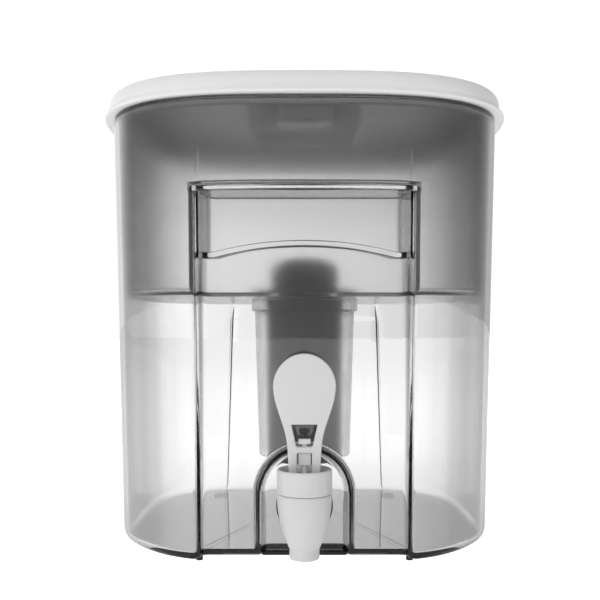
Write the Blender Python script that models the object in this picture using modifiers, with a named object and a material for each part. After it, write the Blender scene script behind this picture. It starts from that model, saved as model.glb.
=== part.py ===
"""Countertop filtering water dispenser: a clear tank with a glass niche and a lever spigot, a smoke-grey
reservoir hanging in its mouth with a filter cartridge in its sleeve, and a white lid with a fill door.
Metres, +Z up, front towards -Y. The sizes below are the design; everything else is worked out from them."""

from math import atan2, cos, pi, radians, sin, sqrt

import bmesh
import bpy

# Tank: a squarish oval in plan that narrows evenly towards the floor
TANK_HALF_WIDTH = 0.1200  # at the rim
TANK_HALF_DEPTH = 0.1070  # at the rim
TANK_NARROWING = 0.0060  # a side, from rim to floor
TANK_HEIGHT = 0.2530  # floor underside to rim
TANK_WALL = 0.0030
TANK_EDGE_RADIUS = 0.0070
SQUARENESS = 3.1  # exponent of the plan's superellipse
FOOT_HEIGHT = 0.0030

# Glass niche in the tank's front, with a deeper recess at its top and an arched pocket for the spigot
NICHE_HEIGHT = 0.2035  # floor underside to the niche's ceiling
NICHE_DEPTH = 0.0200  # rim front to the lower panel
NICHE_TOP_DEPTH = 0.0325  # rim front to the back of the top recess
NICHE_HALF_WIDTH = 0.0568  # at the lower panel
NICHE_SPLAY = radians(12.3)  # how far the side walls open towards the front
NICHE_FLARE = 0.0050
NICHE_CORNER = 0.0030
RECESS_SIDE_Z = 0.1710  # floor underside to the ends of the arch below the top recess
RECESS_RISE = 0.0070
RECESS_STEP = 0.0006  # how far its ceiling and sides stand in from the niche's
POCKET_HALF_WIDTH = 0.0255
POCKET_DEPTH = 0.0090  # behind the lower panel
POCKET_SPRING_Z = 0.0345  # floor underside to the centre of the pocket's arch
REAR_RECESS_DEPTH = 0.0060
REAR_RECESS_HALF_WIDTHS = (0.0598, 0.0550)  # at the floor and at its top

# Reservoir, hanging by its flange from the tank's rim
RESERVOIR_WALL = 0.0020
RESERVOIR_GAP = 0.0006  # to the tank's inside
RESERVOIR_DEPTH = 0.1068  # rim to the underside of its floor
FLANGE_THICKNESS = 0.0018
SLEEVE_ROOM = (0.0078, 0.0048)  # its outer radius past the cartridge's, at the top and at the bottom
SLEEVE_LENGTH = 0.1045
SLEEVE_COLLAR = (0.0022, 0.0065)  # how far the thick ring under the floor stands out, and its height
FILTER_BACK = 0.0170  # filter axis behind the middle of the tank

# Filter cartridge
FILTER_RADIUS = 0.0262
FILTER_LENGTH = 0.1115  # below the underside of the reservoir's floor it reaches this far
FILTER_FLANGE = (0.0098, 0.0023)  # how far it stands out, and its thickness
FILTER_CAP_STEP = 0.0032  # the cap's radius is smaller than the cartridge's by this
FILTER_CAP_HEIGHT = 0.0230
SHELL = 0.0018  # wall of the cartridge and of its cap
SEAL_THICKNESS = 0.0015

# Lid
LID_HEIGHT = 0.0132
LID_SKIN = 0.0024
LID_LIP = (0.0065, 0.0030)  # how far the lower lip stands out past the tank's rim, to the side and in front
LID_WALL = (0.0026, 0.0022)  # the same for the upright wall above the lip
LIP_SQUARENESS = 2.85
PLUG_DEPTH = 0.0049
DOOR_HALF_WIDTH = 0.0350
DOOR_LENGTH = 0.0600  # from its hinge axis to its front edge
DOOR_THICKNESS = 0.0020
DOOR_FRONT = 0.0330  # from the rim's front to the door's front edge
FILL_BORDER = 0.0045  # ledge that the door rests on
COLLAR_DEPTH = 0.0240  # lid underside to the lower edge of the fill collar
WELL_HALF_WIDTH = 0.0160
WELL_LENGTH = 0.0220
HINGE_PIN_RADIUS = 0.00125
KNUCKLE_RADIUS = 0.0028

# Spigot
SPIGOT_AXIS_FRONT = 0.0010  # barrel axis in front of the tank's rim
SHANK_Z = 0.0265  # floor underside to the shank's axis
SHANK_RADIUS = 0.0080
BARREL_RADIUS = 0.01475
NOZZLE_RADIUS = 0.0081
NOZZLE_Z = 0.0070  # above the counter
NECK_RADIUS = 0.0123
CHAMBER_RADIUS = 0.0102
BONNET_RADIUS = 0.01495
BARREL_LENGTH = 0.0355  # nozzle's mouth to the underside of the bonnet
BONNET_HEIGHT = 0.0130
WASHER_RADIUS = 0.0163
WASHER_THICKNESS = 0.0020
NUT_ACROSS_FLATS = 0.0250
NUT_THICKNESS = 0.0060
PIVOT_RISE = 0.0055  # underside of the bonnet to the lever's pivot
LEVER_LENGTH = 0.0696  # pivot to the top of the paddle
LEVER_HALF_WIDTH = 0.0169
LEVER_THICKNESS = 0.0046
LEG_HALF_GAP = 0.00395
LEG_HALF_WIDTH = 0.0084  # at the trunnions
TRUNNION_RADIUS = 0.0015
STEM_RADIUS = 0.0016

GAP = 0.0003  # left between pieces that touch
RUNNING_GAP = 0.0001
PLAN_POINTS = 56
ROUND = 28

# Heights above the counter and places that follow from the sizes
FLOOR_Z = FOOT_HEIGHT
RIM_Z = FLOOR_Z + TANK_HEIGHT
CEILING_Z = FLOOR_Z + NICHE_HEIGHT
PANEL_Y = -TANK_HALF_DEPTH + NICHE_DEPTH
RECESS_Y = -TANK_HALF_DEPTH + NICHE_TOP_DEPTH
POCKET_Y = PANEL_Y + POCKET_DEPTH
RESERVOIR_FLOOR_Z = RIM_Z + GAP - RESERVOIR_DEPTH
FLANGE_TOP_Z = RIM_Z + GAP + FLANGE_THICKNESS
LID_Z = FLANGE_TOP_Z + GAP
LID_TOP_Z = LID_Z + LID_HEIGHT
LID_UNDERSIDE_Z = LID_TOP_Z - LID_SKIN
SPIGOT_Y = -TANK_HALF_DEPTH - SPIGOT_AXIS_FRONT
SHANK_AXIS_Z = FLOOR_Z + SHANK_Z
DOOR_FRONT_Y = -TANK_HALF_DEPTH + DOOR_FRONT
HINGE_Y = DOOR_FRONT_Y + DOOR_LENGTH
HINGE_Z = LID_TOP_Z - 0.0044
BONNET_Z = NOZZLE_Z + BARREL_LENGTH
LEVER_PIVOT_Z = BONNET_Z + PIVOT_RISE
LEVER_TOP_Z = LEVER_PIVOT_Z + LEVER_LENGTH
RETAINER_Z = LEVER_PIVOT_Z - 0.0052
SLEEVE_RADII = (FILTER_RADIUS + SLEEVE_ROOM[0], FILTER_RADIUS + SLEEVE_ROOM[1])
FILTER_CAP_RADIUS = FILTER_RADIUS - FILTER_CAP_STEP
KNUCKLE_HALF_LENGTH = DOOR_HALF_WIDTH
SEAT_Z = NOZZLE_Z + 0.0182
STEM_FOOT_Z = SEAT_Z + 0.0018


# ---------------------------------------------------------------- scene helpers


def clear_scene():
    for obj in list(bpy.data.objects):
        bpy.data.objects.remove(obj, do_unlink=True)


def new_collection(name, hidden=False):
    collection = bpy.data.collections.new(name)
    bpy.context.scene.collection.children.link(collection)
    collection.hide_render = hidden
    return collection


def material(name, colour, roughness, metallic=0.0, alpha=1.0):
    mat = bpy.data.materials.new(name)
    mat.use_nodes = True
    shader = mat.node_tree.nodes["Principled BSDF"]
    shader.inputs["Base Color"].default_value = (*colour, 1.0)
    shader.inputs["Roughness"].default_value = roughness
    shader.inputs["Metallic"].default_value = metallic
    shader.inputs["Alpha"].default_value = alpha
    return mat


def finish(obj, mat=None, cutter=False):
    """Puts a new object under the dispenser's root, as a part with its material or as a hidden cutter."""
    for holder in list(obj.users_collection):
        holder.objects.unlink(obj)
    (CUTTERS if cutter else PARTS).objects.link(obj)
    obj.parent = ROOT
    if cutter:
        obj.hide_render = True
        obj.display_type = "WIRE"
        return obj
    obj.data.materials.append(mat)
    if obj.type == "MESH":
        obj.data.shade_smooth()
        obj.data.set_sharp_from_angle(angle=radians(35))
    return obj


def from_bmesh(name, bm, origin=(0.0, 0.0, 0.0)):
    """An object from a bmesh drawn in the dispenser's own coordinates, with its origin moved to the given point."""
    bmesh.ops.translate(bm, verts=bm.verts, vec=[-c for c in origin])
    bmesh.ops.recalc_face_normals(bm, faces=bm.faces)
    mesh = bpy.data.meshes.new(name)
    bm.to_mesh(mesh)
    bm.free()
    obj = bpy.data.objects.new(name, mesh)
    obj.location = origin
    bpy.context.scene.collection.objects.link(obj)
    return obj


def boolean(obj, other, operation):
    step = obj.modifiers.new(f"{operation.lower()} {other.name}", "BOOLEAN")
    step.operation = operation
    step.object = other
    step.solver = "EXACT"


def cut(obj, *cutters):
    for cutter in cutters:
        boolean(obj, cutter, "DIFFERENCE")


def join(obj, *others):
    for other in others:
        boolean(obj, other, "UNION")


# ---------------------------------------------------------------- shapes


def oval(half_width, half_depth, z, power=SQUARENESS):
    """Ring of points on a superellipse, evenly spaced in its angle parameter."""
    ring = []
    for i in range(PLAN_POINTS):
        turn = 2 * pi * (i + 0.5) / PLAN_POINTS
        c, s = cos(turn), sin(turn)
        x = half_width * abs(c) ** (2 / power) * (1 if c > 0 else -1)
        y = half_depth * abs(s) ** (2 / power) * (1 if s > 0 else -1)
        ring.append((x, y, z))
    return ring


def loft(name, rings, origin=(0.0, 0.0, 0.0)):
    """Closed solid skinned over rings of equally many points, with a flat cap at each end."""
    bm = bmesh.new()
    rows = [[bm.verts.new(p) for p in ring] for ring in rings]
    count = len(rows[0])
    for low, high in zip(rows, rows[1:]):
        for i in range(count):
            j = (i + 1) % count
            bm.faces.new((low[i], low[j], high[j], high[i]))
    bm.faces.new(rows[0][::-1])
    bm.faces.new(rows[-1])
    return from_bmesh(name, bm, origin)


def box(name, low, high, origin=None):
    bm = bmesh.new()
    bmesh.ops.create_cube(bm, size=1.0)
    size = [b - a for a, b in zip(low, high)]
    middle = [(a + b) / 2 for a, b in zip(low, high)]
    bmesh.ops.scale(bm, verts=bm.verts, vec=size)
    bmesh.ops.translate(bm, verts=bm.verts, vec=middle)
    return from_bmesh(name, bm, origin or middle)


def round_edges(obj, width, segments=2, angle=40):
    step = obj.modifiers.new("rounded edges", "BEVEL")
    step.width = width
    step.segments = segments
    step.limit_method = "ANGLE"
    step.angle_limit = radians(angle)
    return obj


def turned(name, profile, centre, along="Z", steps=ROUND):
    """Solid of revolution. The profile is (radius, height) points from the top of the outer side down, then
    back up the inside for a ring, with heights measured along the axis from the centre point."""
    mesh = bpy.data.meshes.new(name)
    ends = zip(profile, profile[1:] + profile[:1])
    if sum(r0 * h1 - r1 * h0 for (r0, h0), (r1, h1) in ends) > 0:
        profile = profile[::-1]  # the outer side has to run downwards for the faces to point out
    points = [(r, 0.0, h) for r, h in profile]
    edges = [(i, i + 1) for i in range(len(points) - 1)]
    if profile[0][0] > 0 or profile[-1][0] > 0:
        edges.append((len(points) - 1, 0))
    mesh.from_pydata(points, edges, [])
    obj = bpy.data.objects.new(name, mesh)
    bpy.context.scene.collection.objects.link(obj)
    screw = obj.modifiers.new("turned", "SCREW")
    screw.axis = "Z"
    screw.steps = screw.render_steps = steps
    screw.use_merge_vertices = True
    screw.merge_threshold = 1e-6
    obj.location = centre
    if along == "Y":
        obj.rotation_euler = (-pi / 2, 0, 0)  # heights run towards the back
    elif along == "X":
        obj.rotation_euler = (0, pi / 2, 0)
    return obj


def rod(name, radius, start, end, sides=20):
    """Cylinder between two points on a line along X, Y or Z."""
    bm = bmesh.new()
    length = sqrt(sum((b - a) ** 2 for a, b in zip(start, end)))
    bmesh.ops.create_cone(bm, cap_ends=True, segments=sides, radius1=radius, radius2=radius, depth=length)
    obj = from_bmesh(name, bm)
    obj.location = [(a + b) / 2 for a, b in zip(start, end)]
    if abs(end[0] - start[0]) > length / 2:
        obj.rotation_euler = (0, pi / 2, 0)
    elif abs(end[1] - start[1]) > length / 2:
        obj.rotation_euler = (pi / 2, 0, 0)
    return obj


def mesh_of(curve_object):
    """The same solid as a mesh object, so that a Boolean can use it."""
    graph = bpy.context.evaluated_depsgraph_get()
    graph.update()
    mesh = bpy.data.meshes.new_from_object(curve_object.evaluated_get(graph))
    bm = bmesh.new()
    bm.from_mesh(mesh)
    bmesh.ops.remove_doubles(bm, verts=bm.verts, dist=1e-6)
    bmesh.ops.recalc_face_normals(bm, faces=bm.faces)
    bm.to_mesh(mesh)
    bm.free()
    name = curve_object.name
    obj = bpy.data.objects.new(name + "_solid", mesh)
    obj.matrix_world = curve_object.matrix_world.copy()
    bpy.context.scene.collection.objects.link(obj)
    bpy.data.objects.remove(curve_object, do_unlink=True)
    obj.name = name
    return obj


def flat_plate(name, outlines, y_front, y_back, origin):
    """Plate standing in the XZ plane from closed outlines of (x, z) points; later outlines are openings."""
    data = bpy.data.curves.new(name, "CURVE")
    data.dimensions = "2D"
    data.fill_mode = "BOTH"
    data.extrude = (y_back - y_front) / 2
    for outline in outlines:
        spline = data.splines.new("POLY")
        spline.points.add(len(outline) - 1)
        for point, (x, z) in zip(spline.points, outline):
            point.co = (x - origin[0], z - origin[2], 0.0, 1.0)
        spline.use_cyclic_u = True
    obj = bpy.data.objects.new(name, data)
    bpy.context.scene.collection.objects.link(obj)
    obj.rotation_euler = (pi / 2, 0, 0)
    obj.location = (origin[0], (y_front + y_back) / 2, origin[2])
    bpy.context.view_layer.update()
    return mesh_of(obj)


# ---------------------------------------------------------------- tank


def tank_half_sizes(z, inset=0.0):
    share = (RIM_Z - z) / TANK_HEIGHT
    return (TANK_HALF_WIDTH - TANK_NARROWING * share - inset, TANK_HALF_DEPTH - TANK_NARROWING * share - inset)


def tank_ring(z, inset=0.0):
    return oval(*tank_half_sizes(z, inset), z)


def tub(name, low_z, high_z, inset, edge_radius):
    """The tank's form between two heights, set in from its outer surface, with its lower edge rounded."""
    rings = []
    for i in range(5):
        turn = pi / 2 * i / 4
        rings.append(tank_ring(low_z + edge_radius * (1 - cos(turn)), inset + edge_radius * (1 - sin(turn))))
    rings.append(tank_ring(high_z, inset))
    return loft(name, rings)


def front_y(x, z):
    half_width, half_depth = tank_half_sizes(z)
    return -half_depth * (1 - (x / half_width) ** SQUARENESS) ** (1 / SQUARENESS)


def niche_section(z, back_y, grow, corner):
    """Plan of the niche at one height: a back panel, side walls that open towards the front, and a flared mouth.
    Growing it moves every wall into the tank's plastic by that distance."""
    slope = sin(NICHE_SPLAY) / cos(NICHE_SPLAY)
    mouth_x = NICHE_HALF_WIDTH + NICHE_FLARE + 0.0035
    mouth_y = front_y(mouth_x, z) + grow
    back = back_y + grow
    room = back - mouth_y - NICHE_CORNER - 0.0006  # what the corner leaves of the niche's depth at this height
    flare = max(min(NICHE_FLARE, room) - grow, 0.0004)

    def wall_x(y):
        return NICHE_HALF_WIDTH + (PANEL_Y - y) * slope + grow / cos(NICHE_SPLAY)

    right = []
    for i in range(4):  # rounded back corner
        turn = pi / 2 * i / 3
        right.append((wall_x(back - corner) - corner * (1 - sin(turn)), back - corner * (1 - cos(turn))))
    for i in range(5):  # flare
        turn = pi / 2 * i / 4
        right.append((wall_x(mouth_y + flare) + flare * (1 - cos(turn)), mouth_y + flare * (1 - sin(turn))))
    right.append((right[-1][0], -0.200))
    left = [(-x, y) for x, y in reversed(right)]
    return [(x, y, z) for x, y in left + right]


def niche_prism(name, back_y, grow, corner, low_z, top_z):
    full_flare_z = FLOOR_Z + TANK_HEIGHT / 4  # the niche is deep enough for its whole flare from here up
    levels = [z for z in (low_z, full_flare_z, top_z) if z >= low_z]
    return finish(loft(name, [niche_section(z, back_y, grow, corner) for z in levels]), cutter=True)


def arch_section(y, half_width, side_z, crown_z, top_z):
    """Upright section at one depth: flat top, straight sides and an arched lower edge."""
    ring = [(half_width, y, top_z), (-half_width, y, top_z)]
    rise = crown_z - side_z
    radius = (half_width ** 2 + rise ** 2) / (2 * rise)
    reach = atan2(half_width, radius - rise)
    for i in range(17):
        turn = -reach + 2 * reach * i / 16
        ring.append((radius * sin(turn), y, crown_z - radius * (1 - cos(turn))))
    return ring


def top_recess(name, grow):
    """The deeper recess above the lower panel, arched along its lower edge."""
    slope = sin(NICHE_SPLAY) / cos(NICHE_SPLAY)
    rings = []
    for y in (RECESS_Y + grow, PANEL_Y - 0.004):
        half_width = NICHE_HALF_WIDTH - RECESS_STEP + (PANEL_Y - (y - grow)) * slope + grow
        side_z = FLOOR_Z + RECESS_SIDE_Z - grow
        rings.append(arch_section(y, half_width, side_z, side_z + RECESS_RISE, CEILING_Z - RECESS_STEP + grow))
    return finish(loft(name, rings), cutter=True)


def spigot_pocket(name, grow):
    """Arched pocket, open downwards, that the spigot stands in."""
    half_width = POCKET_HALF_WIDTH + grow
    spring_z = FLOOR_Z + POCKET_SPRING_Z
    outline = [(half_width, -0.02), (half_width, spring_z)]
    outline += [(half_width * cos(pi * i / 16), spring_z + half_width * sin(pi * i / 16)) for i in range(1, 16)]
    outline += [(-half_width, spring_z), (-half_width, -0.02)]
    rings = [[(x, y, z) for x, z in outline] for y in (POCKET_Y + grow, PANEL_Y - 0.004)]
    return finish(loft(name, rings), cutter=True)


def rear_recess(name, grow):
    """Shallow flat recess in the back wall, below the reservoir, wider at the floor than at its top."""
    rings = []
    top_z = RESERVOIR_FLOOR_Z - 0.0005 - TANK_WALL
    for z, half_width in zip((-0.01, top_z + grow), REAR_RECESS_HALF_WIDTHS):
        back = tank_half_sizes(z)[1] - REAR_RECESS_DEPTH - grow
        wide = half_width + grow
        rings.append([(-wide, back, z), (wide, back, z), (wide, 0.2, z), (-wide, 0.2, z)])
    return finish(loft(name, rings), cutter=True)


def make_tank(mat):
    """Clear tank: the tub, less the niche, less a cavity that keeps a wall behind every face of the niche."""
    cavity = finish(
        tub("tank_cavity", FLOOR_Z + TANK_WALL, RIM_Z + 0.01, TANK_WALL, TANK_EDGE_RADIUS - TANK_WALL), cutter=True
    )
    inside = TANK_WALL
    cut(
        cavity,
        niche_prism("niche_inside", PANEL_Y, inside, NICHE_CORNER + inside, -0.01, CEILING_Z + inside),
        top_recess("top_recess_inside", inside),
        spigot_pocket("pocket_inside", inside),
        rear_recess("rear_recess_inside", inside),
    )
    tank = finish(tub("tank", FLOOR_Z, RIM_Z, 0.0, TANK_EDGE_RADIUS), mat)
    hole = finish(
        rod("shank_hole", SHANK_RADIUS + 0.0004, (0, POCKET_Y - 0.005, SHANK_AXIS_Z), (0, POCKET_Y + 0.01, SHANK_AXIS_Z)),
        cutter=True,
    )
    cut(
        tank,
        niche_prism("niche", PANEL_Y, 0.0, NICHE_CORNER, -0.01, CEILING_Z),
        top_recess("top_recess", 0.0),
        spigot_pocket("pocket", 0.0),
        rear_recess("rear_recess_outside", 0.0),
        cavity,
        hole,
    )
    return tank


def make_feet(mat):
    """Rubber studs under the corners and a rubber strip behind the spigot pocket."""
    front_x, rear_x = NICHE_HALF_WIDTH + 0.0027, NICHE_HALF_WIDTH + 0.0065
    rear_y = TANK_HALF_DEPTH - 0.030
    for side, sign in (("left", -1), ("right", 1)):
        for place, stud_x, y, radius in (("front", front_x, PANEL_Y + 0.0022, 0.0020), ("rear", rear_x, rear_y, 0.0050)):
            top = FLOOR_Z - GAP
            foot = rod(f"foot_{place}_{side}", radius, (sign * stud_x, y, 0), (sign * stud_x, y, top), 20)
            finish(round_edges(foot, 0.0006), mat)
    half = POCKET_HALF_WIDTH - 0.0005
    y = POCKET_Y + 0.0015
    strip = box("front_foot_strip", (-half, y, 0.0), (half, y + 0.008, FLOOR_Z - GAP))
    finish(round_edges(strip, 0.0005), mat)


# ---------------------------------------------------------------- reservoir


def make_reservoir(mat):
    """Smoke-grey reservoir: it follows the tank's inside, is notched straight up over the niche so that it lifts
    out, hangs by a flange on the tank's rim and carries the filter in a sleeve under its floor."""
    inset = TANK_WALL + RESERVOIR_GAP
    rings = [tank_ring(RESERVOIR_FLOOR_Z, inset + 0.003), tank_ring(RESERVOIR_FLOOR_Z + 0.0009, inset + 0.0009),
             tank_ring(RESERVOIR_FLOOR_Z + 0.003, inset)]
    neck_z = RIM_Z + GAP
    rings += [tank_ring(neck_z, inset), tank_ring(neck_z, 0.0004), tank_ring(FLANGE_TOP_Z, 0.0004)]
    reservoir = finish(loft("reservoir", rings), mat)

    floor_top = RESERVOIR_FLOOR_Z + RESERVOIR_WALL + 0.0005
    inner = inset + RESERVOIR_WALL
    cavity_rings = [tank_ring(floor_top, inner + 0.002), tank_ring(floor_top + 0.0006, inner + 0.0006),
                    tank_ring(floor_top + 0.002, inner), tank_ring(FLANGE_TOP_Z + 0.01, inner)]
    cavity = finish(loft("reservoir_cavity", cavity_rings), cutter=True)
    low = RESERVOIR_FLOOR_Z - 0.01
    sharp = 0.0004  # the notch clears the square corners of the top recess
    cut(cavity, niche_prism("notch_inside", RECESS_Y, inner, sharp + RESERVOIR_WALL, low, CEILING_Z + inner))

    middle = (0.0, FILTER_BACK, RESERVOIR_FLOOR_Z)
    top_r, low_r = SLEEVE_RADII
    collar_r, collar_h = top_r + SLEEVE_COLLAR[0], SLEEVE_COLLAR[1]
    sleeve = turned(
        "sleeve",
        [(0, 0.0012), (collar_r, 0.0012), (collar_r, -collar_h), (top_r, -collar_h - 0.0008),
         (low_r, -SLEEVE_LENGTH), (0, -SLEEVE_LENGTH)],
        middle,
    )
    bore = turned(
        "sleeve_bore",
        [(0, 0.01), (top_r - RESERVOIR_WALL, 0.01), (top_r - RESERVOIR_WALL, -collar_h),
         (low_r - RESERVOIR_WALL, -SLEEVE_LENGTH - 0.01), (0, -SLEEVE_LENGTH - 0.01)],
        middle,
    )
    join(reservoir, finish(sleeve, cutter=True))
    cut(reservoir, niche_prism("notch", RECESS_Y, inset, sharp, low, CEILING_Z + inset), cavity,
        finish(bore, cutter=True))
    return reservoir


# ---------------------------------------------------------------- filter cartridge


def make_filter(grey, dark, rubber, carbon):
    floor_top = RESERVOIR_FLOOR_Z + RESERVOIR_WALL + 0.0005
    axis = (0.0, FILTER_BACK)
    flange_r, flange_t = FILTER_RADIUS + FILTER_FLANGE[0], FILTER_FLANGE[1]
    seal = turned(
        "filter_seal",
        [(flange_r - 0.0006, SEAL_THICKNESS), (flange_r - 0.0002, SEAL_THICKNESS / 2), (flange_r - 0.0006, 0),
         (flange_r - 0.0035, 0), (flange_r - 0.0035, SEAL_THICKNESS)],
        (*axis, floor_top + GAP),
    )
    finish(seal, rubber)

    flange_z = floor_top + SEAL_THICKNESS + 2 * GAP
    foot_z = RESERVOIR_FLOOR_Z - FILTER_LENGTH + 0.003
    top = flange_z + flange_t
    neck_r = FILTER_CAP_RADIUS - SHELL - GAP
    neck_top = top + 0.0035
    body = turned(
        "filter_body",
        [(neck_r, neck_top - foot_z), (neck_r, top - foot_z), (flange_r, top - foot_z), (flange_r, flange_z - foot_z),
         (FILTER_RADIUS, flange_z - foot_z), (FILTER_RADIUS - 0.0008, 0.0012), (FILTER_RADIUS - 0.002, 0),
         (0, 0), (0, 0.0025), (FILTER_RADIUS - 0.0008 - SHELL, 0.0025), (neck_r - SHELL, neck_top - foot_z - 0.012),
         (neck_r - SHELL, neck_top - foot_z)],
        (*axis, foot_z),
    )
    outlets = []
    for i in range(7):
        turn = 2 * pi * i / 6
        r = 0.014 if i < 6 else 0.0
        x, y = r * cos(turn), FILTER_BACK + r * sin(turn)
        outlets.append(finish(rod(f"outlet_{i}", 0.0025, (x, y, foot_z - 0.002), (x, y, foot_z + 0.005), 12), cutter=True))
    body.data.name = "filter_body"
    finish(body, dark)
    cut(body, *outlets)

    screen_r = FILTER_RADIUS - 0.0008 - SHELL - 2 * GAP
    screen_z = foot_z + 0.0025 + GAP
    screen = turned("filter_screen", [(0, 0.0008), (screen_r, 0.0008), (screen_r, 0), (0, 0)], (*axis, screen_z))
    finish(screen, grey)
    media_z = screen_z + 0.0008 + GAP
    media_top = neck_top - 0.016
    media_r = neck_r - SHELL - GAP
    media = turned(
        "filter_media",
        [(0, media_top - media_z), (media_r, media_top - media_z), (media_r, 0), (0, 0)],
        (*axis, media_z),
    )
    finish(media, carbon)

    cap_r, height = FILTER_CAP_RADIUS, FILTER_CAP_HEIGHT
    outer = [(cap_r * cos(pi / 2 * i / 6), height - 0.010 + 0.010 * sin(pi / 2 * i / 6)) for i in range(6, -1, -1)]
    outer[0] = (0.0, height)
    inner_r = cap_r - SHELL
    inner = [(inner_r * cos(pi / 2 * i / 6), height - 0.010 + (0.010 - SHELL) * sin(pi / 2 * i / 6)) for i in range(7)]
    inner[-1] = (0.0, height - SHELL)
    cap = turned("filter_cap", outer + [(cap_r, 0), (inner_r, 0)] + inner, (*axis, top + GAP))
    finish(cap, dark)
    slots = []
    for i in range(3):
        slot = box(f"cap_slot_{i}", (-0.03, -0.0016, 0.008), (0.03, 0.0016, 0.0125), (0, 0, 0))
        slot.location = (*axis, top + GAP)
        slot.rotation_euler = (0, 0, pi * (i + 0.5) / 3)
        slots.append(finish(slot, cutter=True))
    cut(cap, *slots)


# ---------------------------------------------------------------- lid and fill door


def lid_ring(z, out, power=SQUARENESS):
    return oval(TANK_HALF_WIDTH + out[0], TANK_HALF_DEPTH + out[1], z, power)


def make_lid(mat, steel):
    """White lid: a shallow cap with an outward lip, a return edge that sits on the reservoir's flange, a plug rib
    inside the reservoir's mouth, a framed fill opening with a collar, and a finger well in front of the door."""
    wide, deep = LID_LIP
    wall_x, wall_y = LID_WALL
    wall_power = 3.05
    rings = [
        lid_ring(LID_Z, (wide - 0.0012, deep - 0.0008), LIP_SQUARENESS),
        lid_ring(LID_Z + 0.0006, (wide - 0.0002, deep - 0.0002), LIP_SQUARENESS),
        lid_ring(LID_Z + 0.0014, (wide, deep), LIP_SQUARENESS),
        lid_ring(LID_Z + 0.0026, (wide - 0.0014, deep - 0.0003), LIP_SQUARENESS + 0.05),
        lid_ring(LID_Z + 0.0048, (wall_x, wall_y), wall_power),
    ]
    for share_up, share_in in ((0.60, 0.0002), (0.78, 0.0008), (0.92, 0.0024), (0.98, 0.0045), (1.0, 0.0075)):
        rings.append(lid_ring(LID_Z + LID_HEIGHT * share_up, (wall_x - share_in, wall_y - share_in), wall_power))
    lid = finish(loft("lid", rings), mat)

    plug = -(TANK_WALL + RESERVOIR_GAP + RESERVOIR_WALL + 0.0008)
    return_z = LID_Z + 0.0020
    plug_solid = finish(
        loft("lid_plug", [lid_ring(LID_Z - PLUG_DEPTH, (plug, plug)), lid_ring(return_z - 0.0005, (plug, plug))]), cutter=True
    )
    rib = plug - 0.0018
    skin = wall_x - LID_SKIN
    hollow = finish(
        loft("lid_hollow", [
            lid_ring(LID_Z - PLUG_DEPTH - 0.01, (rib, rib)),
            lid_ring(return_z, (rib, rib)),
            lid_ring(return_z, (skin, skin)),
            lid_ring(LID_Z + LID_HEIGHT * 0.58, (skin, skin)),
            lid_ring(LID_UNDERSIDE_Z - 0.0006, (skin - 0.0036, skin - 0.0036)),
            lid_ring(LID_UNDERSIDE_Z, (skin - 0.008, skin - 0.008)),
        ]),
        cutter=True,
    )

    frame_x = KNUCKLE_HALF_LENGTH + 0.0065
    opening_x = DOOR_HALF_WIDTH - FILL_BORDER
    opening_front, opening_back = DOOR_FRONT_Y + FILL_BORDER, HINGE_Y - 0.0090
    collar_low = LID_UNDERSIDE_Z - COLLAR_DEPTH
    well_front = DOOR_FRONT_Y - WELL_LENGTH
    frame_low = HINGE_Z - KNUCKLE_RADIUS - 0.0030
    frame = box("door_frame", (-frame_x, DOOR_FRONT_Y - 0.003, frame_low),
                (frame_x, HINGE_Y + 0.0090, LID_UNDERSIDE_Z + 0.001))
    collar = box("fill_collar", (-opening_x - 0.0022, opening_front - 0.0022, collar_low),
                 (opening_x + 0.0022, opening_back + 0.0022, LID_UNDERSIDE_Z + 0.001))
    well = box("finger_well_box", (-WELL_HALF_WIDTH, well_front, collar_low + 0.0005),
               (WELL_HALF_WIDTH, opening_front - 0.001, LID_UNDERSIDE_Z + 0.001))
    seat_z = LID_TOP_Z - 0.0002 - DOOR_THICKNESS - GAP
    door_seat = box("door_seat", (-DOOR_HALF_WIDTH - 0.0005, DOOR_FRONT_Y - 0.0006, seat_z),
                    (DOOR_HALF_WIDTH + 0.0005, HINGE_Y + 0.0015, LID_TOP_Z + 0.01))
    opening = box("fill_opening", (-opening_x, opening_front, collar_low - 0.01),
                  (opening_x, opening_back, LID_TOP_Z + 0.01))
    inside = 0.0018
    well_space = box("finger_well", (-WELL_HALF_WIDTH + inside, well_front + inside, collar_low + 0.0005 + inside),
                     (WELL_HALF_WIDTH - inside, opening_front - 0.0022 - inside, LID_TOP_Z + 0.01))
    knuckle_space = box("knuckle_space", (-KNUCKLE_HALF_LENGTH - 0.0005, HINGE_Y - KNUCKLE_RADIUS - 0.0012,
                                          HINGE_Z - KNUCKLE_RADIUS - 0.0006),
                        (KNUCKLE_HALF_LENGTH + 0.0005, HINGE_Y + 0.0058, LID_TOP_Z + 0.01))
    pin_reach = KNUCKLE_HALF_LENGTH + 0.0035
    pin_hole = rod("pin_hole", HINGE_PIN_RADIUS + RUNNING_GAP, (-pin_reach - GAP, HINGE_Y, HINGE_Z),
                   (pin_reach + GAP, HINGE_Y, HINGE_Z))
    for extra in (frame, collar, well, door_seat, opening, well_space, knuckle_space, pin_hole):
        finish(extra, cutter=True)
    round_edges(well, 0.003)
    round_edges(well_space, 0.0025)
    join(lid, plug_solid)
    cut(lid, hollow)
    join(lid, frame, collar, well)
    cut(lid, door_seat, opening, well_space, knuckle_space, pin_hole)

    pin = rod("hinge_pin", HINGE_PIN_RADIUS, (-pin_reach, HINGE_Y, HINGE_Z), (pin_reach, HINGE_Y, HINGE_Z))
    finish(pin, steel)


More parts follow.
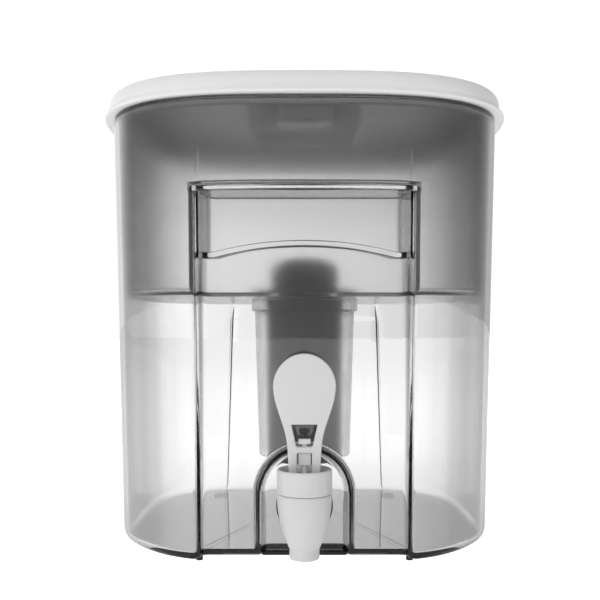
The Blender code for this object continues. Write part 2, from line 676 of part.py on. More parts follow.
def make_fill_door(mat):
    """Door plate with a full-length knuckle on its rear edge, turning on the hinge pin."""
    top = LID_TOP_Z - 0.0002
    axis = (0.0, HINGE_Y, HINGE_Z)
    door = box("fill_door", (-DOOR_HALF_WIDTH, DOOR_FRONT_Y, top - DOOR_THICKNESS), (DOOR_HALF_WIDTH, HINGE_Y, top), axis)
    round_edges(door, 0.0005, 1)
    finish(door, mat)
    knuckle = rod("knuckle", KNUCKLE_RADIUS, (-KNUCKLE_HALF_LENGTH, HINGE_Y, HINGE_Z),
                  (KNUCKLE_HALF_LENGTH, HINGE_Y, HINGE_Z))
    web = box("knuckle_web", (-KNUCKLE_HALF_LENGTH, HINGE_Y - 0.0022, HINGE_Z),
              (KNUCKLE_HALF_LENGTH, HINGE_Y + 0.0012, top - 0.0004))
    bore = rod("knuckle_bore", HINGE_PIN_RADIUS + RUNNING_GAP, (-0.05, HINGE_Y, HINGE_Z), (0.05, HINGE_Y, HINGE_Z))
    for extra in (knuckle, web, bore):
        finish(extra, cutter=True)
    join(door, knuckle, web)
    cut(door, bore)


# ---------------------------------------------------------------- spigot


def make_spigot_body(mat):
    """Barrel, nozzle and threaded shank in one moulding, with the valve chamber, seat and bores inside."""
    shoulder = BONNET_Z - GAP
    b, n = BARREL_RADIUS, NOZZLE_RADIUS
    z0 = NOZZLE_Z
    outer = [
        (NECK_RADIUS, BONNET_Z + 0.0086), (NECK_RADIUS, shoulder), (b - 0.0003, shoulder), (b, shoulder - 0.0012),
        (b - 0.0001, z0 + 0.0290), (b - 0.0008, z0 + 0.0235), (b - 0.0017, z0 + 0.0190), (b - 0.0029, z0 + 0.0150),
        (b - 0.0043, z0 + 0.0112), (b - 0.0056, z0 + 0.0078), (b - 0.0060, z0 + 0.0066), (n, z0 + 0.0060),
        (n, z0 + 0.0012), (n - 0.0004, z0 + 0.0003), (n - 0.0011, z0),
    ]
    inner = [
        (n - 0.0025, z0), (n - 0.0025, SEAT_Z - 0.0008), (n - 0.0022, SEAT_Z), (n - 0.0008, SEAT_Z),
        (n - 0.0005, SEAT_Z - 0.0012), (CHAMBER_RADIUS - 0.0014, SEAT_Z - 0.0012), (CHAMBER_RADIUS - 0.0002, SEAT_Z + 0.003),
        (CHAMBER_RADIUS, LEVER_PIVOT_Z + 0.0007), (NECK_RADIUS - 0.0009, BONNET_Z + 0.0086),
    ]
    body = finish(turned("spigot_body", outer + inner, (0, SPIGOT_Y, 0)), mat)
    back_of_wall = POCKET_Y + TANK_WALL
    shank_end = back_of_wall + WASHER_THICKNESS + NUT_THICKNESS + 0.006
    flange_y = POCKET_Y - WASHER_THICKNESS - 2 * GAP
    start = SPIGOT_Y + BARREL_RADIUS - 0.0030
    shank = rod("shank", SHANK_RADIUS, (0, start, SHANK_AXIS_Z), (0, shank_end, SHANK_AXIS_Z))
    flange = rod("flange", WASHER_RADIUS - 0.0015, (0, flange_y - 0.0025, SHANK_AXIS_Z), (0, flange_y, SHANK_AXIS_Z))
    bore = rod("shank_bore", SHANK_RADIUS - 0.003, (0, SPIGOT_Y + 0.004, SHANK_AXIS_Z), (0, shank_end + 0.01, SHANK_AXIS_Z))
    notch = box("trunnion_notch", (-0.02, SPIGOT_Y - TRUNNION_RADIUS - RUNNING_GAP, LEVER_PIVOT_Z),
                (0.02, SPIGOT_Y + TRUNNION_RADIUS + RUNNING_GAP, 0.08))
    notch_floor = rod("trunnion_seat", TRUNNION_RADIUS + RUNNING_GAP, (-0.02, SPIGOT_Y, LEVER_PIVOT_Z),
                      (0.02, SPIGOT_Y, LEVER_PIVOT_Z))
    for extra in (shank, flange, bore, notch, notch_floor):
        finish(extra, cutter=True)
    join(body, shank, flange)
    cut(body, bore, notch, notch_floor)


def make_shank_fixings(rubber, mat):
    """Washers each side of the tank's wall and the hexagonal nut that clamps them."""
    t = WASHER_THICKNESS
    hole = SHANK_RADIUS + GAP
    outer = [(hole, t), (WASHER_RADIUS, t), (WASHER_RADIUS, 0), (hole, 0)]
    finish(turned("outer_washer", outer, (0, POCKET_Y - t - GAP, SHANK_AXIS_Z), "Y"), rubber)
    small = WASHER_RADIUS - 0.0013
    back_of_wall = POCKET_Y + TANK_WALL + GAP
    inner = [(hole, t), (small, t), (small, 0), (hole, 0)]
    finish(turned("inner_washer", inner, (0, back_of_wall, SHANK_AXIS_Z), "Y"), rubber)
    start = back_of_wall + t + GAP
    across = NUT_ACROSS_FLATS / sqrt(3)
    nut = rod("lock_nut", across, (0, start, SHANK_AXIS_Z), (0, start + NUT_THICKNESS, SHANK_AXIS_Z), 6)
    bore = rod("nut_bore", hole, (0, start - 0.01, SHANK_AXIS_Z), (0, start + 0.02, SHANK_AXIS_Z))
    finish(nut, mat)
    cut(nut, finish(bore, cutter=True))


def make_bonnet(mat):
    """Screw ring over the barrel's neck; its mouth opens upwards as a funnel so that the lever can swing."""
    r, z, h = BONNET_RADIUS, BONNET_Z, BONNET_HEIGHT
    inner = NECK_RADIUS + GAP
    mouth = NECK_RADIUS - 0.0005
    profile = [
        (r - 0.0013, h), (r - 0.0006, h), (r, h - 0.0006), (r, 0.0006), (r - 0.0005, 0), (inner, 0), (inner, 0.0089),
        (mouth, 0.0089), (mouth, h - 0.0020),
    ]
    finish(turned("spigot_bonnet", profile, (0, SPIGOT_Y, z)), mat)


def lever_z(share):
    """Height of a point on the lever, as a share of the way from its pivot to its top."""
    return LEVER_PIVOT_Z + LEVER_LENGTH * share


def lever_outline():
    """Half-widths of the lever from its round paddle down to the feet of its legs, mirrored, with the slot
    between the legs open at the bottom. The waist is (share of the length, share of the widening)."""
    top, wide = LEVER_TOP_Z, LEVER_HALF_WIDTH
    centre = top - wide - 0.0012
    right = [(wide * sin(pi / 2 * i / 10), centre + (top - centre) * cos(pi / 2 * i / 10)) for i in range(0, 11)]
    waist = ((0.647, 0.906), (0.575, 0.729), (0.503, 0.529), (0.431, 0.329), (0.374, 0.200), (0.316, 0.118),
             (0.244, 0.071), (0.158, 0.035), (0.086, 0.0))
    right += [(LEG_HALF_WIDTH + (wide - LEG_HALF_WIDTH) * widening, lever_z(share)) for share, widening in waist]
    foot_z = LEVER_PIVOT_Z - 0.0015
    right += [(LEG_HALF_WIDTH, foot_z), (LEG_HALF_GAP, foot_z), (LEG_HALF_GAP, lever_z(0.234))]
    left = [(-x, z) for x, z in reversed(right) if x > 0]
    return right + left


def make_lever(mat):
    """Flat paddle on two legs, with a window above the cross bar, trunnions at its feet, and the back of the
    cross bar cut away where the valve stem passes."""
    pivot = (0.0, SPIGOT_Y, LEVER_PIVOT_Z)
    front = SPIGOT_Y - LEVER_THICKNESS + 0.0004
    high, low = lever_z(0.454), lever_z(0.282)
    window = [(0.0070, high), (0.0043, low), (-0.0043, low), (-0.0070, high)]
    lever = flat_plate("spigot_lever", [lever_outline(), window], front, front + LEVER_THICKNESS, pivot)
    shift = lever.location.y - SPIGOT_Y
    lever.data.transform(lever.matrix_world.to_3x3().to_4x4())
    for vertex in lever.data.vertices:
        vertex.co.y += shift
    lever.rotation_euler = (0, 0, 0)
    lever.location = pivot
    finish(lever, mat)
    fittings = []
    for sign, side in ((-1, "left"), (1, "right")):
        reach = NECK_RADIUS - 0.0003
        fittings.append(rod(f"trunnion_{side}", TRUNNION_RADIUS, (sign * 0.006, SPIGOT_Y, LEVER_PIVOT_Z),
                            (sign * reach, SPIGOT_Y, LEVER_PIVOT_Z)))
        fittings.append(rod(f"boss_{side}", 0.0026, (sign * (LEG_HALF_GAP + 0.0002), SPIGOT_Y, LEVER_PIVOT_Z),
                            (sign * LEG_HALF_WIDTH, SPIGOT_Y, LEVER_PIVOT_Z)))
    relief = box("stem_relief", (-LEG_HALF_GAP, SPIGOT_Y - 0.0024, lever_z(0.172)),
                 (LEG_HALF_GAP, SPIGOT_Y + 0.01, lever_z(0.302)))
    join(lever, *[finish(piece, cutter=True) for piece in fittings])
    cut(lever, finish(relief, cutter=True))


def make_valve(mat, silicone, steel):
    """Stem with its head above the lever's cross bar, the bell-shaped seat cup it carries, the return spring
    around it and the retainer that the spring pushes against."""
    axis = (0.0, SPIGOT_Y)
    foot = STEM_FOOT_Z
    stem = rod("valve_stem", STEM_RADIUS, (*axis, foot), (*axis, lever_z(0.316)), 20)
    button = rod("stem_button", 0.0030, (*axis, foot - 0.0002), (*axis, foot + 0.0013), 20)
    block = box("stem_block", (-0.0033, SPIGOT_Y - 0.0021, lever_z(0.138)), (0.0033, SPIGOT_Y + 0.0020, lever_z(0.2295)))
    head = box("stem_head", (-0.0032, SPIGOT_Y - 0.0022, lever_z(0.302)), (0.0032, SPIGOT_Y + 0.0016, lever_z(0.339)))
    finish(stem, mat)
    join(stem, *[finish(piece, cutter=True) for piece in (button, block, head)])

    bore = STEM_RADIUS + GAP
    low = SEAT_Z + GAP
    cup = turned(
        "seat_cup",
        [(bore, 0.0075), (0.0042, 0.0075), (0.0046, 0.0055), (0.0074, 0.0024), (0.0076, 0), (0.0062, 0),
         (0.0058, 0.0016), (bore, 0.0040)],
        (*axis, low),
    )
    finish(cup, silicone)

    hole = STEM_RADIUS + 0.0007
    edge = CHAMBER_RADIUS - 2 * GAP
    retainer = turned(
        "spring_retainer", [(hole, 0.0012), (edge, 0.0012), (edge, 0), (hole, 0)], (*axis, RETAINER_Z)
    )
    finish(retainer, mat)

    wire, coil_r, turns = 0.0004, 0.0034, 4.0
    low_z, high_z = low + 0.0075 + GAP + wire, RETAINER_Z - GAP - wire
    data = bpy.data.curves.new("return_spring", "CURVE")
    data.dimensions = "3D"
    data.bevel_depth = wire
    data.bevel_resolution = 1
    data.use_fill_caps = True
    spline = data.splines.new("POLY")
    count = int(turns * 14) + 1
    spline.points.add(count - 1)
    for i, point in enumerate(spline.points):
        turn = 2 * pi * turns * i / (count - 1)
        point.co = (coil_r * cos(turn), coil_r * sin(turn), low_z + (high_z - low_z) * i / (count - 1), 1.0)
    spring = bpy.data.objects.new("return_spring", data)
    spring.location = (*axis, 0.0)
    finish(spring, steel)


# ---------------------------------------------------------------- assembly


def centre_root():
    """Moves the root so that the whole dispenser stands centred on the origin, seen from above."""
    bpy.context.view_layer.update()
    graph = bpy.context.evaluated_depsgraph_get()
    low, high = [1e9, 1e9], [-1e9, -1e9]
    for obj in PARTS.objects:
        if obj.type == "EMPTY":
            continue
        evaluated = obj.evaluated_get(graph)
        mesh = evaluated.to_mesh()
        for vertex in mesh.vertices:
            place = evaluated.matrix_world @ vertex.co
            for axis in (0, 1):
                low[axis] = min(low[axis], place[axis])
                high[axis] = max(high[axis], place[axis])
        evaluated.to_mesh_clear()
    ROOT.location = (-(low[0] + high[0]) / 2, -(low[1] + high[1]) / 2, 0.0)


clear_scene()
PARTS = new_collection("water_dispenser")
CUTTERS = new_collection("water_dispenser_cutters", hidden=True)
ROOT = bpy.data.objects.new("dispenser_root", None)
PARTS.objects.link(ROOT)

CLEAR = material("clear_plastic", (0.93, 0.94, 0.94), 0.05, alpha=0.25)
SMOKE = material("smoke_plastic", (0.42, 0.43, 0.43), 0.35, alpha=0.55)
WHITE = material("white_plastic", (0.86, 0.86, 0.85), 0.35)
SPIGOT_WHITE = material("spigot_plastic", (0.80, 0.80, 0.79), 0.30)
DARK = material("cartridge_plastic", (0.10, 0.10, 0.105), 0.45)
RUBBER = material("black_rubber", (0.03, 0.03, 0.03), 0.75)
SILICONE = material("silicone", (0.75, 0.76, 0.76), 0.55)
CARBON = material("filter_carbon", (0.05, 0.05, 0.05), 0.90)
SCREEN = material("screen_mesh", (0.60, 0.61, 0.61), 0.60)
STEEL = material("spring_steel", (0.62, 0.62, 0.63), 0.25, metallic=1.0)

make_tank(CLEAR)
make_feet(RUBBER)
make_reservoir(SMOKE)
make_filter(SCREEN, DARK, RUBBER, CARBON)
make_lid(WHITE, STEEL)
make_fill_door(WHITE)
make_spigot_body(SPIGOT_WHITE)
make_shank_fixings(RUBBER, SPIGOT_WHITE)
make_bonnet(SPIGOT_WHITE)
make_lever(SPIGOT_WHITE)
make_valve(SPIGOT_WHITE, SILICONE, STEEL)
centre_root()
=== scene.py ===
from math import pi, radians

import bmesh
import bpy
import numpy as np
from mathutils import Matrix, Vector


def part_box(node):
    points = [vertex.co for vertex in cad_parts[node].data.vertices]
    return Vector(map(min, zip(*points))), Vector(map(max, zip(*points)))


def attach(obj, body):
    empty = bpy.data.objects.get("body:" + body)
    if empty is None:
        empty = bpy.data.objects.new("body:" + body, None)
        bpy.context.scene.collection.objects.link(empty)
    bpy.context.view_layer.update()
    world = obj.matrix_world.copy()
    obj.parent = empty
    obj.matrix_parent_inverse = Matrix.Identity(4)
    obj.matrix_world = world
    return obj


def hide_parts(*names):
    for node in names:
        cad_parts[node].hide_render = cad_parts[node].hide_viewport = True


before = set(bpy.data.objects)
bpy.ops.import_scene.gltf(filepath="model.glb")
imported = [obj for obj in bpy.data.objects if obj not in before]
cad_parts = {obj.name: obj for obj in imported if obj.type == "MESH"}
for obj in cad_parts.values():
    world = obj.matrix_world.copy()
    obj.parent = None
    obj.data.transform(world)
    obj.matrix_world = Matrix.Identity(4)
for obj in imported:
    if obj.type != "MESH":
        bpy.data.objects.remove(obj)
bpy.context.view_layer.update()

# ---------------------------------------------------------------- the room
# The dispenser stands on a pale matt table in a white sweep: bright behind it, dimmer to its sides, so that the
# edges of the clear plastic read as grey lines. Two large soft lamps, the stronger one from the left.

MIDDLE = (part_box("tank")[0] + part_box("tank")[1]) / 2  # the tank's upright axis
EYE_DISTANCE = 0.557
EYE_HEIGHT = 0.1318

eye = bpy.data.objects.new("eye", bpy.data.cameras.new("eye"))
eye.data.lens = 50.0
eye.data.sensor_width = 36.0
eye.data.shift_x = -0.0075
eye.data.shift_y = 0.045
eye.data.clip_start = 0.01
eye.location = (0.0, MIDDLE.y - EYE_DISTANCE, EYE_HEIGHT)
eye.rotation_euler = (pi / 2, 0.0, 0.0)
bpy.context.scene.collection.objects.link(eye)
bpy.context.scene.camera = eye
bpy.context.scene.view_settings.view_transform = "Standard"


def join_nodes(tree, start, end):
    tree.links.new(start, end)
    return end.node


def make_node(tree, kind, **values):
    """A shader node of that kind, with its settings and its unlinked sockets filled in by name."""
    node = tree.nodes.new(kind)
    for key, value in values.items():
        if hasattr(node, key):
            setattr(node, key, value)
        else:
            node.inputs[key.replace("_", " ")].default_value = value
    return node


room = bpy.data.worlds.new("white_sweep")
room.use_nodes = True
bpy.context.scene.world = room
tree = room.node_tree
tree.nodes.clear()
direction = make_node(tree, "ShaderNodeTexCoord")
parts = make_node(tree, "ShaderNodeSeparateXYZ")
join_nodes(tree, direction.outputs["Generated"], parts.inputs["Vector"])
behind = make_node(tree, "ShaderNodeMapRange", interpolation_type="SMOOTHSTEP")
for socket, value in (("From Min", 0.20), ("From Max", 0.80), ("To Min", 0.0), ("To Max", 1.0)):
    behind.inputs[socket].default_value = value
join_nodes(tree, parts.outputs["Y"], behind.inputs["Value"])
tone = make_node(tree, "ShaderNodeMix", data_type="RGBA")
tone.inputs[6].default_value = (0.30, 0.30, 0.30, 1.0)
tone.inputs[7].default_value = (1.00, 1.00, 1.00, 1.0)
join_nodes(tree, behind.outputs["Result"], tone.inputs["Factor"])
seen = make_node(tree, "ShaderNodeLightPath")
page = make_node(tree, "ShaderNodeMix", data_type="RGBA")
page.inputs[7].default_value = (1.10, 1.10, 1.10, 1.0)
leftward = make_node(tree, "ShaderNodeMapRange")
for socket, value in (("From Min", -0.25), ("From Max", 0.30), ("To Min", 1.20), ("To Max", 0.72)):
    leftward.inputs[socket].default_value = value
join_nodes(tree, parts.outputs["X"], leftward.inputs["Value"])
graded = make_node(tree, "ShaderNodeVectorMath", operation="SCALE")
join_nodes(tree, tone.outputs[2], graded.inputs[0])
join_nodes(tree, leftward.outputs["Result"], graded.inputs["Scale"])
join_nodes(tree, graded.outputs["Vector"], page.inputs[6])
join_nodes(tree, seen.outputs["Is Camera Ray"], page.inputs["Factor"])
glow = make_node(tree, "ShaderNodeBackground", Strength=1.0)
join_nodes(tree, page.outputs[2], glow.inputs["Color"])
join_nodes(tree, glow.outputs["Background"], make_node(tree, "ShaderNodeOutputWorld").inputs["Surface"])


def soft_lamp(name, place, aim, wide, high, power):
    """A rectangular lamp at a place, facing a point."""
    data = bpy.data.lights.new(name, "AREA")
    data.shape = "RECTANGLE"
    data.size, data.size_y, data.energy = wide, high, power
    lamp = bpy.data.objects.new(name, data)
    lamp.location = place
    away = [p - a for p, a in zip(place, aim)]
    lamp.rotation_euler = Vector(away).to_track_quat("Z", "Y").to_euler()
    lamp.visible_glossy = False
    lamp.visible_transmission = False
    bpy.context.scene.collection.objects.link(lamp)


soft_lamp("left_window", (-1.1, -1.3, 1.1), (0, 0, 0.15), 1.2, 1.2, 11.5)
soft_lamp("right_fill", (1.5, -1.2, 0.7), (0, 0, 0.12), 1.0, 1.0, 2.0)
soft_lamp("overhead", (0.0, 0.3, 1.6), (0, 0, 0.1), 1.6, 1.6, 7.0)

table_mesh = bpy.data.meshes.new("table")
reach = np.array([[-9, -9, 0], [9, -9, 0], [9, 9, 0], [-9, 9, 0]], float)
table_mesh.from_pydata(reach.tolist(), [], [(0, 1, 2, 3)])
table = bpy.data.objects.new("table", table_mesh)
table.location.z = -0.0002
bpy.context.scene.collection.objects.link(table)
paint = bpy.data.materials.new("table_paint")
paint.use_nodes = True
shader = paint.node_tree.nodes["Principled BSDF"]
shader.inputs["Base Color"].default_value = (0.90, 0.90, 0.90, 1.0)
shader.inputs["Roughness"].default_value = 0.75
shader.inputs["Emission Color"].default_value = (1.0, 1.0, 1.0, 1.0)
lift = make_node(paint.node_tree, "ShaderNodeMapRange")
for socket, value in (("To Min", 0.44), ("To Max", 1.15)):
    lift.inputs[socket].default_value = value
direct = make_node(paint.node_tree, "ShaderNodeLightPath")
join_nodes(paint.node_tree, direct.outputs["Is Camera Ray"], lift.inputs["Value"])
spread = make_node(paint.node_tree, "ShaderNodeVectorMath", operation="LENGTH")
join_nodes(paint.node_tree, make_node(paint.node_tree, "ShaderNodeTexCoord").outputs["Object"], spread.inputs[0])
distant = make_node(paint.node_tree, "ShaderNodeMapRange")
for socket, value in (("From Min", 0.15), ("From Max", 2.2), ("To Min", 0.44), ("To Max", 0.58)):
    distant.inputs[socket].default_value = value
join_nodes(paint.node_tree, spread.outputs["Value"], distant.inputs["Value"])
join_nodes(paint.node_tree, distant.outputs["Result"], lift.inputs["To Min"])
join_nodes(paint.node_tree, lift.outputs["Result"], shader.inputs["Emission Strength"])
table_mesh.materials.append(paint)

# ---------------------------------------------------------------- the tank
# A clear styrene tub with a squarish oval plan, injection moulded 3 mm thick. Its front is pressed in to make the
# niche for a glass, with a deeper recess above and an arched pocket for the spigot below.

TANK_HALF_WIDTH = (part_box("tank")[1].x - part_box("tank")[0].x) / 2
TANK_HALF_DEPTH = (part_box("tank")[1].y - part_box("tank")[0].y) / 2
FLOOR_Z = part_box("tank")[0].z
RIM_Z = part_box("tank")[1].z
TANK_NARROWING = 0.0060
TANK_WALL = 0.0030
TANK_EDGE_RADIUS = 0.0070
SQUARENESS = 3.1
CEILING_Z = FLOOR_Z + 0.2035
PANEL_Y = -TANK_HALF_DEPTH + 0.0200
RECESS_Y = -TANK_HALF_DEPTH + 0.0325
NICHE_HALF_WIDTH = 0.0568
NICHE_SLOPE = np.tan(radians(12.3))
NICHE_FLARE = 0.0050
NICHE_CORNER = 0.0030
LEDGE_Z = FLOOR_Z + 0.1710
LEDGE_RISE = 0.0070
LEDGE_TILT = 0.0003
POCKET_RADIUS = 0.0255
POCKET_DEPTH = 0.0090
POCKET_DRAFT = 0.0034
POCKET_SPRING_Z = FLOOR_Z + 0.0345
REAR_TOP_Z = 0.1460
REAR_DEPTH = 0.0060
SMALL_RADIUS = 0.0009
FOOT_RADIUS = 0.0012  # where the niche's walls meet the floor

# columns of half a plan, from the middle of the back round to the middle of the front
REAR, STEP, SIDE, LIP, WALL, CORNER = 14, 4, 58, 9, 6, 7
PANEL_WIDE, PANEL_FINE = 8, 38


def smooth(t):
    t = np.clip(t, 0.0, 1.0)
    return t * t * (3 - 2 * t)


def mesh_piece(name, points, quads, finish, angle=40.0, caps=()):
    """Puts points, quads and many-sided caps into a mesh, merges the points that meet at seams and poles, turns the
    faces outwards and shades it smooth except where two faces meet at more than the angle."""
    mesh = bpy.data.meshes.new(name)
    mesh.from_pydata(points.reshape(-1, 3).tolist(), [], quads.tolist() + [list(cap) for cap in caps])
    work = bmesh.new()
    work.from_mesh(mesh)
    bmesh.ops.remove_doubles(work, verts=work.verts, dist=2e-6)
    bmesh.ops.dissolve_degenerate(work, edges=work.edges, dist=1e-7)
    bmesh.ops.recalc_face_normals(work, faces=work.faces)
    work.to_mesh(mesh)
    work.free()
    mesh.shade_smooth()
    mesh.set_sharp_from_angle(angle=radians(angle))
    piece = bpy.data.objects.new(name, mesh)
    bpy.context.scene.collection.objects.link(piece)
    mesh.materials.append(finish)
    return piece


def grid_quads(count, around, loop=False):
    """Quads between neighbouring rings of a grid; every ring is closed, and loop joins the last ring to the first."""
    index = np.arange(count * around).reshape(count, around)
    turn = np.roll(index, -1, axis=1)
    if loop:
        low, low_turn = index, turn
        high, high_turn = np.roll(index, -1, axis=0), np.roll(turn, -1, axis=0)
    else:
        low, low_turn, high, high_turn = index[:-1], turn[:-1], index[1:], turn[1:]
    return np.stack([low, low_turn, high_turn, high], -1).reshape(-1, 4)


def oval_y(x, half_width, half_depth):
    """Depth of the superellipse |x/a|^p + |y/b|^p = 1 at x."""
    return half_depth * np.clip(1 - np.abs(x / half_width) ** SQUARENESS, 0, 1) ** (1 / SQUARENESS)


def half_plan(z, inset, grow, back, rear, closed, pocket_grow=None, corner=NICHE_CORNER):
    """Half of the tub's plan, with every argument a rows by columns array. From the back: the rear recess, its
    step, the superellipse round the side in equal angles, the rounded lip, the straight splayed niche wall, the
    back corner and the panel; closed moves the niche's points straight forward on to the superellipse."""
    a = TANK_HALF_WIDTH - TANK_NARROWING * (RIM_Z - z) / (RIM_Z - FLOOR_Z) - inset
    b = TANK_HALF_DEPTH - TANK_NARROWING * (RIM_Z - z) / (RIM_Z - FLOOR_Z) - inset
    x, y = np.zeros_like(z), np.zeros_like(z)
    ends = np.cumsum([0, REAR, STEP, SIDE, LIP, WALL, CORNER, PANEL_WIDE + PANEL_FINE])
    cut = [slice(s, e) for s, e in zip(ends[:-1], ends[1:])]

    def along(n):
        return np.linspace(0, 1, n + 1)[1:][None, :]

    s = cut[0]
    half = 0.0598 + (0.0550 - 0.0598) * (z + 0.01) / (REAR_TOP_Z + 0.01) + grow * 0.6
    half = np.where(rear > 0, half, 0.0550)
    share = rear * smooth((REAR_TOP_Z + grow - z) / 0.003)
    x[:, s] = half[:, s] * np.linspace(0, 1, REAR)[None, :]
    round_y = oval_y(x[:, s], a[:, s], b[:, s])
    y[:, s] = round_y - share[:, s] * np.clip(round_y - (b[:, s] - REAR_DEPTH), 0, 1)
    s = cut[1]
    k = along(STEP)
    x[:, s] = half[:, s] + 0.0012 * k
    round_y = oval_y(x[:, s], a[:, s], b[:, s])
    y[:, s] = round_y - share[:, s] * (1 - smooth(k)) * np.clip(round_y - (b[:, s] - REAR_DEPTH), 0, 1)

    back = back + grow
    mouth = -b * 0.95
    lip = np.full_like(z, NICHE_FLARE)
    for _ in range(4):
        lip = np.maximum(np.minimum(NICHE_FLARE, back - mouth - NICHE_CORNER - 0.0006) - grow, 0.0004)
        lip_x = NICHE_HALF_WIDTH + (PANEL_Y - mouth - lip) * NICHE_SLOPE + grow * 1.0235
        mouth = -oval_y(lip_x + lip, a, b)

    s = cut[2]
    x_start = half[:, s] + 0.0012
    first = np.arctan2(oval_y(x_start, a[:, s], b[:, s]), x_start)
    last = np.arctan2(mouth[:, s], (lip_x + lip)[:, s])
    turn = first + (last - first) * along(SIDE)
    radius = (np.abs(np.cos(turn) / a[:, s]) ** SQUARENESS + np.abs(np.sin(turn) / b[:, s]) ** SQUARENESS) ** (
        -1 / SQUARENESS
    )
    x[:, s], y[:, s] = radius * np.cos(turn), radius * np.sin(turn)

    def wall_x(depth, s):
        return NICHE_HALF_WIDTH + (PANEL_Y - depth) * NICHE_SLOPE + grow[:, s] * 1.0235

    s = cut[3]
    turn = pi / 2 * (1 - along(LIP))
    x[:, s] = lip_x[:, s] + lip[:, s] * (1 - np.cos(turn))
    y[:, s] = mouth[:, s] + lip[:, s] * (1 - np.sin(turn))
    s = cut[4]
    radius = corner + grow
    start, end = (mouth + lip)[:, s], (back - radius)[:, s]
    y[:, s] = start + (end - start) * along(WALL)
    x[:, s] = wall_x(y[:, s], s)
    s = cut[5]
    turn = pi / 2 * (1 - along(CORNER))
    x[:, s] = wall_x((back - radius)[:, s], s) - radius[:, s] * (1 - np.sin(turn))
    y[:, s] = back[:, s] - radius[:, s] * (1 - np.cos(turn))
    s = cut[6]
    fine = 0.030
    start = wall_x((back - radius)[:, s], s) - radius[:, s]
    k = np.concatenate([np.linspace(0, 1, PANEL_WIDE + 1)[1:], np.linspace(1, 2, PANEL_FINE + 1)[1:]])[None, :]
    x[:, s] = np.where(k < 1, start + (fine - start) * k, fine * (2 - k))
    y[:, s] = back[:, s]
    if pocket_grow is not None:
        reach = np.hypot(x, np.maximum(z - POCKET_SPRING_Z, 0))
        depth = np.clip((POCKET_RADIUS + pocket_grow - reach) / POCKET_DRAFT, 0, 1)
        inside = np.zeros_like(x)
        inside[:, s] = 1.0
        y += inside * POCKET_DEPTH * (0.6 * depth + 0.4 * smooth(depth))
    front = slice(ends[3], ends[7])
    on_oval = -oval_y(x[:, front], a[:, front], b[:, front])
    y[:, front] += closed[:, front] * (on_oval - y[:, front])
    return x, y


HALF_COLUMNS = REAR + STEP + SIDE + LIP + WALL + CORNER + PANEL_WIDE + PANEL_FINE


def whole_plan(x, y, z):
    """Half plans mirrored into whole rings, moved to the tank's axis."""
    right = np.stack([x, y + MIDDLE.y, z], -1)
    left = right[:, -2:0:-1] * np.array([-1.0, 1.0, 1.0])
    return np.concatenate([right, left], 1)


def quarter(n):
    return np.linspace(0, pi / 2, n)


